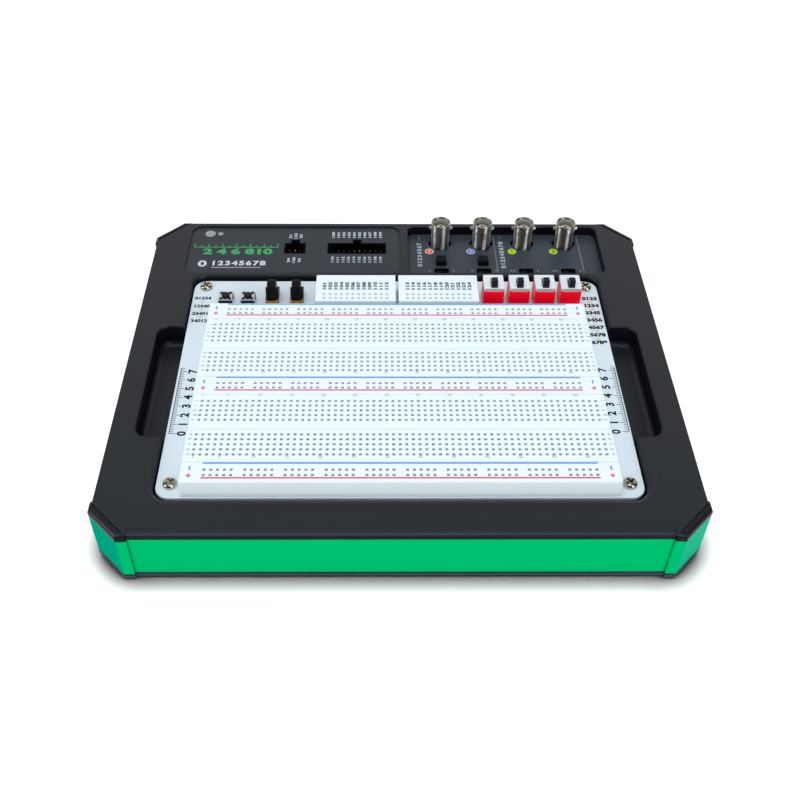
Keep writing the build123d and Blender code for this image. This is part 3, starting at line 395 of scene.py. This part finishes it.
# Rear ports, soldered under the back edge of the main board: a square data port of folded tin
# with a white tongue, a black power inlet, an audio socket and a rocker switch in a bezel.
eased("usb_shell", tinned, width=0.00012)
dressed("usb_tongue", moulded("port_white", (0.78, 0.78, 0.76), roughness=0.4))
port_black = moulded("port_black", (0.010, 0.010, 0.011), roughness=0.35, specular=0.4)
for node in ("power_inlet", "audio_socket"):
    eased(node, port_black, width=0.00015)
eased("power_switch_body", port_black, width=0.00025)
rocker_gloss = moulded("rocker_gloss", (0.010, 0.010, 0.011), roughness=0.2)
eased("power_rocker", rocker_gloss, width=0.0003)

# Top cover: one large moulding in charcoal plastic with a fine satin grain, recessed for the
# canvas, the fingers, the label and the jacks. All its edges are eased; the guards are thick.
# Flat floors show a paler, duller charcoal. Upright walls are painted nearly black as shade, and the
# guards are the same near-black.
well_z, label_z = 23.15, 27.1
floor_margin = 0.0001
guard_line = 0.194
wall_end, shade_end, dull_end, satin_end = 0.35, 0.9, 0.85, 0.95
cover_plastic = moulded("cover_plastic", (0.0120, 0.0138, 0.0175), roughness=0.33, grain=0.00035,
                        relief=0.000006, drift=0.04, specular=0.25)
banded(cover_plastic, "COMPARE", well_z / 1000, (0.036, 0.046, 0.058), floor_margin)
banded(cover_plastic, "COMPARE", label_z / 1000, (0.022, 0.026, 0.032), floor_margin)
tree = cover_plastic.node_tree
shader = tree.nodes["Principled BSDF"]
slope = parted(tree, tree.nodes.new("ShaderNodeNewGeometry").outputs["Normal"])
place = parted(tree, tree.nodes.new("ShaderNodeTexCoord").outputs["Object"])
aside = reckon(tree, "ADD", reckon(tree, "ABSOLUTE", place["X"]),
               reckon(tree, "ABSOLUTE", place["Y"]))
# Painted shade: the steeper a face, the nearer its colour comes to near-black.
wall_painted_shade = ramped(tree, slope["Z"], wall_end, shade_end, 1.0, 0.0)
on_guard = reckon(tree, "GREATER_THAN", aside, guard_line)
overlaid(cover_plastic, (0.006, 0.007, 0.011), reckon(tree, "MAXIMUM", wall_painted_shade, on_guard))
feed(tree, shader.inputs["Specular IOR Level"],
     ramped(tree, slope["Z"], wall_end, dull_end, 0.04, 0.3))
feed(tree, shader.inputs["Roughness"], ramped(tree, slope["Z"], wall_end, satin_end, 0.28, 0.42))
eased("top_cover", cover_plastic, width=0.0004)

# Label recess: prints in white and green ink on the charcoal plastic, with plain numbers where
# the pins of a header are, a ruler in green and two frosted light windows, one small.
# The sizes and places of prints are in millimetres, here and in all that follows.
film = 0.02
pin_pitch = 2.54
header_type = dict(height=1.25, turn=90, widen=1.85, weight=0.03)
nought_type = dict(height=4.2, widen=1.4, weight=0.03)
digit_type = dict(height=3.2, widen=1.2, weight=0.04)
scale_type = dict(height=3.9, widen=1.5, weight=0.05)
wide_rows = ((100, 84.8, 1.95), (110, 65.6, 1.85))
wide_pins, small_pins = 10, 3
small_rows = ((83.9, ("21", "122", "23")), (65.2, ("24", "125", "26")))
nought_x, nought_y = -91.2, 62.4
digit_pitch, digit_x, digit_y = 3.3, -89.2, 62.8
underline = (-86.6, -63.4, 59.6, 59.9)
first_tick, tick_pitch, tick_count, tick_half = -96.3, 3.32, 13, 0.2
long_tick, short_tick, tick_figure_y = 2.6, 1.4, 71.6
ruler_left, ruler_right, ruler_front, ruler_back = -96.5, -56.3, 74.9, 75.4


def box_of(node):
    """The lowest and the highest corner of a CAD node, in millimetres."""
    places = [vert.co * 1000 for vert in frame["nodes"][node].data.vertices]
    return [[round(pick(place[axis] for place in places), 3) for axis in range(3)]
            for pick in (min, max)]


def middle_of(node):
    """The middle of a CAD node's box in millimetres, to a hundredth."""
    low, high = box_of(node)
    return [round((a + b) / 2, 2) for a, b in zip(low, high)]


def filmed(form, outline, z):
    """A printed patch as thick as a film of ink, from an outline of points."""
    low = [form.verts.new((x / 1000, y / 1000, (z - film) / 1000)) for x, y in outline]
    high = [form.verts.new((x / 1000, y / 1000, (z + film) / 1000)) for x, y in outline]
    form.faces.new(high)
    form.faces.new(low[::-1])
    for i in range(len(outline)):
        j = (i + 1) % len(outline)
        form.faces.new((low[i], low[j], high[j], high[i]))


def bar(form, x0, x1, y0, y1, z):
    """A printed bar between two corners."""
    filmed(form, ((x0, y0), (x1, y0), (x1, y1), (x0, y1)), z)


def disc(form, x, y, radius, z, sides=40):
    """A printed dot about a point."""
    angles = [2 * math.pi * i / sides for i in range(sides)]
    filmed(form, [(x + radius * math.cos(a), y + radius * math.sin(a)) for a in angles], z)


type_cases = {}
capital_share = 0.7


def figure(form, text, x, y, z, height, turn=0, widen=1.0, weight=0.0):
    """Plain numbers or signs in ink, centred on a point. The height is that of a capital.
    Each text is drawn once, kept, and set wherever it is printed."""
    key = (text, weight)
    if key not in type_cases:
        letters = bpy.data.curves.new("figure", "FONT")
        letters.body = text
        letters.align_x = "CENTER"
        letters.align_y = "CENTER"
        letters.offset = weight
        letters.resolution_u = 3
        carrier = bpy.data.objects.new("figure", letters)
        bpy.context.scene.collection.objects.link(carrier)
        bpy.context.view_layer.update()
        drawn = carrier.evaluated_get(bpy.context.evaluated_depsgraph_get())
        type_cases[key] = bpy.data.meshes.new_from_object(drawn)
        bpy.data.objects.remove(carrier)
        bpy.data.curves.remove(letters)
    size = height / capital_share / 1000
    put = (Matrix.Translation((x / 1000, y / 1000, (z + film) / 1000))
           @ Matrix.Rotation(math.radians(turn), 4, "Z")
           @ Matrix.Diagonal((size * widen, size, 1, 1)))
    start = len(form.verts)
    form.from_mesh(type_cases[key])
    form.verts.ensure_lookup_table()
    for vert in form.verts[start:]:
        vert.co = put @ vert.co


def printed(name, form, body, material):
    """Shows a form as a print that rides on a body."""
    mesh = bpy.data.meshes.new(name)
    form.to_mesh(mesh)
    form.free()
    mesh.materials.append(material)
    piece = bpy.data.objects.new(name, mesh)
    bpy.context.scene.collection.objects.link(piece)
    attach(piece, body)


def inked(name, colour, drift=0.08, specular=0.5):
    """A coat of ink in a colour."""
    return moulded(name, colour, roughness=0.5, grain=0.0002, drift=drift, specular=specular)


white_ink = inked("white_ink", (0.56, 0.60, 0.64))
green_ink = inked("green_ink", (0.03, 0.34, 0.10))
white_print = bmesh.new()
for pin in range(wide_pins):
    x = middle_of("wide_header")[0] + (pin - (wide_pins - 1) / 2) * pin_pitch
    for first, y, widen in wide_rows:
        figure(white_print, str(first + pin), x, y, label_z, **dict(header_type, widen=widen))
for pin in range(small_pins):
    x = middle_of("small_header")[0] + (pin - (small_pins - 1) / 2) * pin_pitch
    for y, texts in small_rows:
        figure(white_print, texts[pin], x, y, label_z, **header_type)
figure(white_print, "0", nought_x, nought_y, label_z, **nought_type)
for digit in range(1, 9):
    x = digit_x + digit * digit_pitch
    figure(white_print, str(digit), x, digit_y, label_z, **digit_type)
bar(white_print, *underline, label_z)
printed("label_figures_white", white_print, "case", white_ink)
green_print = bmesh.new()
for tick in range(tick_count):
    x = first_tick + tick * tick_pitch
    reach = long_tick if tick % 2 == 0 else short_tick
    bar(green_print, x - tick_half, x + tick_half, ruler_back, ruler_back + reach, label_z)
    if tick in (2, 4, 6, 8, 10):
        figure(green_print, str(tick), x, tick_figure_y, label_z, **scale_type)
bar(green_print, ruler_left, ruler_right, ruler_front, ruler_back, label_z)
printed("label_scale_green", green_print, "case", green_ink)
lens_frost = moulded("lens_frost", (0.28, 0.29, 0.30), roughness=0.3, grain=0.0006, drift=0.12)
dressed("light_windows", lens_frost)

# Box headers: black nylon shells with gilt pins, soldered to the main board. They stand in
# cut-outs of the label recess, flush with its floor.
header_black = moulded("header_black", (0.0012, 0.0012, 0.0014), roughness=0.6, specular=0.02)
for node in ("wide_header", "small_header"):
    eased(node, header_black, width=0.00015)
gold = metal("gold_flash", (0.52, 0.40, 0.22), roughness=0.4)
dressed("header_pins", gold)

# Jack well: a deep recess with thin white lines that frame each pair of jacks, a coloured dot
# at each jack and small marks beside each selector switch, all printed on its floor. The first
# two jacks stand behind the coupling jumpers, and all four are a pitch apart.
jack_x = middle_of("coupling_jumper_1")[0]
jack_pitch = round(middle_of("coupling_jumper_2")[0] - jack_x, 2)
jacks = [jack_x + jack_pitch * number for number in range(4)]
jack_y = middle_of("jack_contacts")[1]
well_lines = ((11.9, 85.4, 89.6), (48.6, 61.4, 89.2), (51.6, 87.0, 89.2), (89.7, 61.4, 89.2))
line_half = 0.17
well_rulers = ((11.9, 66.4, 8), (51.8, 65.2, 9))
ruler_pitch = 2.35
ruler_type = dict(height=2.0, turn=90, widen=1.3, weight=0.05)
plain_marks, extra_mark = ((-6.0, -5.2), (5.2, 6.0)), (-7.6, -6.5)
mark_front, mark_back = 62.0, 62.9
dot_aside, dot_y = 5.4, 77.2
ring_radius, ringed_radius, plain_radius = 2.15, 1.75, 2.1
dot_type = dict(height=1.9, widen=1.3, weight=0.01)
dots = (("dot_red", (0.85, 0.11, 0.05)), ("dot_blue", (0.12, 0.17, 0.62)),
        ("dot_lime", (0.42, 0.60, 0.01)), ("dot_lime_2", (0.42, 0.60, 0.01)))
well_print = bmesh.new()
for x, y0, y1 in well_lines:
    bar(well_print, x - line_half, x + line_half, y0, y1, well_z)
well_figures = bmesh.new()
for x, y, count in well_rulers:
    for number in range(count):
        figure(well_figures, str(number), x, y + number * ruler_pitch, well_z, **ruler_type)
for number, x in enumerate(jacks):
    marks = plain_marks + (extra_mark,) if number > 1 else plain_marks
    for start, end in marks:
        bar(well_print, x + start, x + end, mark_front, mark_back, well_z)
dim_ink = inked("dim_ink", (0.22, 0.24, 0.27), drift=0.15, specular=0.2)
mid_ink = inked("mid_ink", (0.40, 0.44, 0.48), drift=0.12, specular=0.2)
dark_ink = inked("dark_ink", (0.03, 0.06, 0.004), specular=0.1)
printed("well_figures", well_figures, "case", mid_ink)
printed("well_lines", well_print, "case", dim_ink)
dot_rings, dot_figures, dark_figures = bmesh.new(), bmesh.new(), bmesh.new()
for number, (name, colour) in enumerate(dots):
    x = jacks[number] - dot_aside
    ringed = number < 2
    dot = bmesh.new()
    disc(dot, x, dot_y, ringed_radius if ringed else plain_radius, well_z + film)
    dot_ink = moulded(name + "_ink", colour, roughness=0.45, drift=0.06)
    printed(name, dot, "case", dot_ink)
    if ringed:
        disc(dot_rings, x, dot_y, ring_radius, well_z)
    figure(dot_figures if ringed else dark_figures, str(number % 2 + 1), x, dot_y,
           well_z + 3 * film, **dot_type)
printed("dot_rings", dot_rings, "case", white_ink)
printed("dot_figures", dot_figures, "case", white_ink)
printed("dot_dark_figures", dark_figures, "case", dark_ink)

# Coaxial jacks: nickel-plated barrels on square bases, each with two bayonet lugs, a rolled rim,
# a pale insulator and a gilt contact. They stand in hexagonal cut-outs of the well's floor.
# The outlines give radii and depths below the rim, in millimetres.
jack_top = box_of("jack_shells")[1][2]
shaft, collar, rim, bore = 4.35, 4.55, 4.65, 4.1
barrel_outline = (
    (shaft, 14.85), (shaft, 5.15), (4.45, 4.75), (collar, 4.45), (collar, 2.65), (4.4, 2.25),
    (4.4, 1.45), (4.6, 1.15), (rim, 0.85), (rim, 0.3), (4.6, 0.06), (4.5, 0), (4.3, 0),
    (4.14, 0.1), (bore, 0.5), (bore, 11.0), (0.6, 11.0))
liner_outline = ((4.02, 10.9), (4.02, 1.0), (3.9, 1.0), (3.9, 10.7), (0.6, 10.7), (0.6, 10.9))
lug_root, lug_tip, lug_length = 0.9, 0.75, 1.2
lug_out, lug_depth = 5.05, 3.4
foot_side, foot_height, foot_z = 11.0, 3.2, 19.6
nickel = metal("nickel_plate", (0.48, 0.475, 0.455), roughness=0.42, streak=0.006, drift=0.03)
tree = nickel.node_tree
shader = tree.nodes["Principled BSDF"]
shader.inputs["Anisotropic"].default_value = 0.97
brushed = tree.nodes.new("ShaderNodeCombineXYZ")
brushed.inputs[0].default_value = 0.05
brushed.inputs[2].default_value = 1
feed(tree, shader.inputs["Tangent"], brushed.outputs[0])


def turned(form, outline, x, y, steps=64):
    """A form turned about an upright axis at x, y, from an outline of radii and heights."""
    rings = []
    for radius, z in outline:
        rings.append([form.verts.new(((x + radius * math.cos(a)) / 1000,
                                      (y + radius * math.sin(a)) / 1000, z / 1000))
                      for a in (2 * math.pi * i / steps for i in range(steps))])
    for inner, outer in zip(rings, rings[1:]):
        for i in range(steps):
            j = (i + 1) % steps
            form.faces.new((inner[i], inner[j], outer[j], outer[i]))
    form.faces.new(rings[-1])
    form.faces.new(rings[0][::-1])


def smooth_piece(name, form, body, material):
    """Shows a turned or built form, shaded smooth, as a piece that rides on a body."""
    mesh = bpy.data.meshes.new(name)
    bmesh.ops.recalc_face_normals(form, faces=form.faces)
    form.to_mesh(mesh)
    form.free()
    mesh.materials.append(material)
    mesh.shade_smooth()
    mesh.set_sharp_from_angle(angle=math.radians(30))
    piece = bpy.data.objects.new(name, mesh)
    bpy.context.scene.collection.objects.link(piece)
    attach(piece, body)
    return piece


barrels, liners, feet = bmesh.new(), bmesh.new(), bmesh.new()
for x in jacks:
    turned(barrels, [(radius, jack_top - depth) for radius, depth in barrel_outline], x, jack_y)
    turned(liners, [(radius, jack_top - depth) for radius, depth in liner_outline], x, jack_y)
    for side in (-1, 1):
        lug = bmesh.ops.create_cone(barrels, cap_ends=True, segments=28, radius1=lug_root / 1000,
                                    radius2=lug_tip / 1000, depth=lug_length / 1000)
        bmesh.ops.rotate(barrels, verts=lug["verts"], cent=(0, 0, 0),
                         matrix=Matrix.Rotation(side * math.pi / 2, 3, "Y"))
        lug_place = Vector((x + side * lug_out, jack_y, jack_top - lug_depth)) / 1000
        bmesh.ops.translate(barrels, verts=lug["verts"], vec=lug_place)
    foot = bmesh.ops.create_cube(feet, size=1)
    foot_size = Vector((foot_side, foot_side, foot_height)) / 1000
    bmesh.ops.scale(feet, verts=foot["verts"], vec=foot_size)
    bmesh.ops.translate(feet, verts=foot["verts"], vec=Vector((x, jack_y, foot_z)) / 1000)
smooth_piece("jack_barrels", barrels, "case", nickel)
liner_tin = moulded("liner_tin", (0.40, 0.38, 0.33), roughness=0.45, grain=0.0004, drift=0.05)
smooth_piece("jack_liners", liners, "case", liner_tin)
jack_feet = smooth_piece("jack_feet", feet, "case", black_nylon)
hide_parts("jack_shells")
jack_feet.modifiers.new("edge", "BEVEL").width = 0.0004
dressed("jack_insulators", moulded("jack_insulator", (0.55, 0.53, 0.46), roughness=0.45))
dressed("jack_contacts", gold)

# Coupling jumpers: two small black blocks that push onto four pins in front of the first jacks.
# Selector sliders: ribbed black knobs, sunk in slots of the well's floor.
jumper_black = moulded("jumper_black", (0.004, 0.005, 0.006), roughness=0.35, specular=0.15)
for number in (1, 2):
    eased(f"coupling_jumper_{number}", jumper_black, width=0.00025, segments=3)
for number in (1, 2, 3, 4):
    eased(f"selector_slider_{number}", jumper_black, width=0.00012)

# Canvas board: a white circuit board with rounded corners, 1.6 mm thick, with a satin solder
# mask. Its cut edge shows the bare laminate, and its prints are black ink: rows of figures
# behind, and a ruler along either side. Zinc screws hold it, beside small resin lights.
canvas_z = box_of("canvas_board")[1][2]
left_rows, left_x = (39.4, 33.9, 28.9, 24.0), -88.15
left_type = dict(height=1.8, widen=1.15, weight=0.05)
right_rows, right_pitch, right_x = 7, 4.88, 88.5
right_type = dict(height=2.0, widen=1.2, weight=0.06)
rulers = ((-1, -91.6, -43.0, -6.0), (1, 92.0, -42.0, -5.0))
fine_tick_half, edge_line, figure_inset = 0.14, 0.3, 5.0
edge_type = dict(height=3.3, turn=90, weight=0.035)
cut_slope = 0.5
canvas_mask = moulded("canvas_mask", (0.68, 0.755, 0.80), roughness=0.34, grain=0.0009,
                      relief=0.000002, drift=0.02, specular=0.3)
laminate = moulded("laminate", (0.86, 0.89, 0.90), roughness=0.6, drift=0.15, specular=0.2)
canvas = eased("canvas_board", canvas_mask, width=0.00012)
canvas.data.materials.append(laminate)
for face in canvas.data.polygons:
    if abs(face.normal.z) < cut_slope:
        face.material_index = 1
black_ink = inked("black_ink", (0.010, 0.011, 0.015), drift=0.1, specular=0.1)
canvas_print = bmesh.new()
for row, y in enumerate(left_rows):
    digits = "01234"[row:] + "01234"[:row]
    figure(canvas_print, digits, left_x, y, canvas_z, **left_type)
for row in range(right_rows):
    digits = "".join(str((row + place) % 10) for place in range(4))
    y = left_rows[0] - right_pitch * row
    figure(canvas_print, digits, right_x, y, canvas_z, **right_type)
for side, edge, y0, y1 in rulers:
    for step in range(int(y1 - y0) + 1):
        y = y0 + step
        tip = edge - side * (short_tick if step % 5 else long_tick)
        bar(canvas_print, min(edge, tip), max(edge, tip), y - fine_tick_half, y + fine_tick_half,
            canvas_z)
        if step % 5 == 0:
            x = edge - side * figure_inset
            figure(canvas_print, str(step // 5), x, y, canvas_z, **edge_type)
    outer = edge + side * edge_line
    bar(canvas_print, min(edge, outer), max(edge, outer), y0, y1, canvas_z)
printed("canvas_figures", canvas_print, "canvas", black_ink)
dressed("canvas_screws", zinc)
dressed("canvas_lights", moulded("light_resin", (0.72, 0.70, 0.52), roughness=0.25, drift=0.1))

# Breadboard: two terminal strips and three supply rails in matt white plastic, with square holes
# on a 2.54 mm pitch. Grey figures number the columns and rows; red and blue lines mark the rails.
# All are keyed together and stuck to the canvas, with spring clips under the holes.
deck_z = box_of("terminal_strip_front")[1][2]
strips = ("terminal_strip_front", "terminal_strip_rear")
rails = ("supply_rail_front", "supply_rail_middle", "supply_rail_rear")
middle_column, last_column = 32, 63
columns_front, columns_back = -15.3, 17.2
bank_rows, ravine_rows, letter_x = 5, 2, 81.0
column_type, row_type = dict(height=1.25), dict(height=1.5, turn=90)
rail_line_x, rail_line_half, sign_x, sign_reach = 74.5, 0.38, 79.2, 1.0
rail_prints = (("rail_lines_blue", 4.4, 2.0, 0.35, (0.10, 0.30, 0.76)),
               ("rail_lines_red", -2.72, -1.6, 0.3, (0.72, 0.10, 0.17)))
board_white = moulded("breadboard_white", (0.80, 0.865, 0.90), roughness=0.48, grain=0.0005,
                      relief=0.000003, drift=0.015, specular=0.2)
for node in strips + rails:
    dressed(node, board_white)
dressed("spring_clips", metal("spring_strip", (0.45, 0.45, 0.43), roughness=0.35))
grey_print = bmesh.new()
for strip in strips:
    strip_y = middle_of(strip)[1]
    for y in (strip_y + columns_front, strip_y + columns_back):
        for column in [1] + list(range(5, last_column + 1, 5)):
            x = (column - middle_column) * pin_pitch
            figure(grey_print, str(column), x, y, deck_z, **column_type)
    for place, letter in enumerate("abcdefghij"):
        row = place - bank_rows - 0.5 + (0 if place < bank_rows else ravine_rows)
        for x in (-letter_x, letter_x):
            figure(grey_print, letter, x, strip_y + row * pin_pitch, deck_z, **row_type)
grey_ink = inked("grey_ink", (0.22, 0.24, 0.26), drift=0.1)
printed("strip_figures", grey_print, "canvas", grey_ink)
for name, line_aside, sign_aside, half, colour in rail_prints:
    lines = bmesh.new()
    for rail in rails:
        rail_y = middle_of(rail)[1]
        line_y, y = rail_y + line_aside, rail_y + sign_aside
        bar(lines, -rail_line_x, rail_line_x, line_y - rail_line_half, line_y + rail_line_half,
            deck_z)
        for x in (-sign_x, sign_x):
            bar(lines, x - half, x + half, y - sign_reach, y + sign_reach, deck_z)
            if name == "rail_lines_red":
                bar(lines, x - sign_reach, x - half, y - half, y + half, deck_z)
                bar(lines, x + half, x + sign_reach, y - half, y + half, deck_z)
    printed(name, lines, "canvas", inked(name + "_ink", colour, drift=0.06))

# Pin sockets: two white blocks behind the breadboard with two rows of twelve square holes and
# tinned contacts in the holes. Plain numbers are printed in black behind the holes, turned to
# read from the right. On the right block, contacts and numbers stand a quarter millimetre right.
socket_columns = 12
socket_prints = ((101, -18.4), (113, 18.95))
socket_front = box_of("pin_socket_left")[0][1]
first_hole, figure_y = 2.0, 38.0
socket_type = dict(height=1.5, turn=90, widen=1.8, weight=0.05)
contact_half, contact_depth = 0.45, 0.35
socket_white = moulded("socket_white", (0.80, 0.855, 0.88), roughness=0.42, grain=0.0004, drift=0.02,
                       specular=0.25)
for node in ("pin_socket_left", "pin_socket_right"):
    dressed(node, socket_white)
socket_print, contacts = bmesh.new(), bmesh.new()
for first, block_x in socket_prints:
    for column in range(socket_columns):
        x = block_x + (column - (socket_columns - 1) / 2) * pin_pitch
        figure(socket_print, str(first + column), x, figure_y, deck_z, **socket_type)
        for row in (0, 1):
            y = socket_front + first_hole + row * pin_pitch
            bar(contacts, x - contact_half, x + contact_half, y - contact_half, y + contact_half,
                deck_z - contact_depth)
contact_tin = moulded("contact_tin", (0.50, 0.49, 0.46), roughness=0.4, grain=0.0004, drift=0.08)
printed("socket_contacts", contacts, "canvas", contact_tin)
socket_ink = inked("socket_ink", (0.035, 0.055, 0.075), drift=0.15)
printed("socket_figures", socket_print, "canvas", socket_ink)

# Push buttons: a black base, a folded metal cover held by four black rivets, and a round cap
# that stands on a spring. They are soldered to the canvas.
rivet_out, rivet_steps = 1.95, 16
rivet_z = box_of("button_covers")[1][2]
rivet_outline = ((0.72, 0), (0.72, 0.15), (0.55, 0.3), (0.2, 0.35))
button_black = moulded("button_black", (0.006, 0.006, 0.008), roughness=0.4, specular=0.2)
eased("button_bases", button_black, width=0.0001)
dressed("button_covers", metal("cover_sheet", (0.62, 0.63, 0.64), roughness=0.3))
rivets = bmesh.new()
for number in (1, 2):
    cap_x, cap_y = middle_of(f"button_cap_{number}")[:2]
    for side_x in (-1, 1):
        for side_y in (-1, 1):
            turned(rivets, [(radius, rivet_z + height) for radius, height in rivet_outline],
                   cap_x + side_x * rivet_out, cap_y + side_y * rivet_out, rivet_steps)
smooth_piece("button_rivets", rivets, "canvas", button_black)
for number in (1, 2):
    eased(f"button_cap_{number}", button_black, width=0.0001)

# Thumb dials: a brown base, soldered to the canvas, that carries a black knurled wheel between
# two dark ears. Only the strip of the base in front of the ears is brown.
ears_front = 0.0346
dial_brown = moulded("dial_brown", (0.46, 0.19, 0.006), roughness=0.4, drift=0.08, specular=0.2)
banded(dial_brown, "GREATER_THAN", ears_front, (0.012, 0.010, 0.009), axis="Y")
eased("dial_bases", dial_brown, width=0.0001)
dial_black = moulded("dial_black", (0.003, 0.004, 0.006), roughness=0.35, specular=0.12)
for number in (1, 2):
    dressed(f"dial_{number}", dial_black)

# Slide switches: a glossy red body, a white cover pressed on top with a dark slot, and a black
# lever in the slot. The front lip of each cover is painted a duller grey as shade.
switch_low, switch_high = box_of("switch_bodies")
lip_reach, lip_slope = 0.6, -0.7
slot_half, slot_front, slot_back = 3.3, 33.6, 41.3
switch_red = moulded("switch_red", (0.90, 0.0, 0.016), roughness=0.25, drift=0.05, specular=0.08)
switch_white = moulded("switch_white", (0.74, 0.79, 0.82), roughness=0.38, drift=0.02, specular=0.25)
eased("switch_bodies", switch_red, width=0.0002)
covers = eased("switch_covers", switch_white, width=0.0002)
covers.data.materials.append(moulded("switch_lip_painted_shade", (0.34, 0.32, 0.31), roughness=0.45, drift=0.05))
# Painted shade: the front lip faces of the covers get a duller grey.
for face in covers.data.polygons:
    if face.normal.y < lip_slope and face.center.y < (switch_low[1] + lip_reach) / 1000:
        face.material_index = 1
slots = bmesh.new()
for number in (1, 2, 3, 4):
    x = middle_of(f"switch_lever_{number}")[0]
    bar(slots, x - slot_half, x + slot_half, slot_front, slot_back, switch_high[2])
    eased(f"switch_lever_{number}", button_black, width=0.0001)
printed("switch_slots", slots, "canvas", button_black)

bpy.context.view_layer.update()
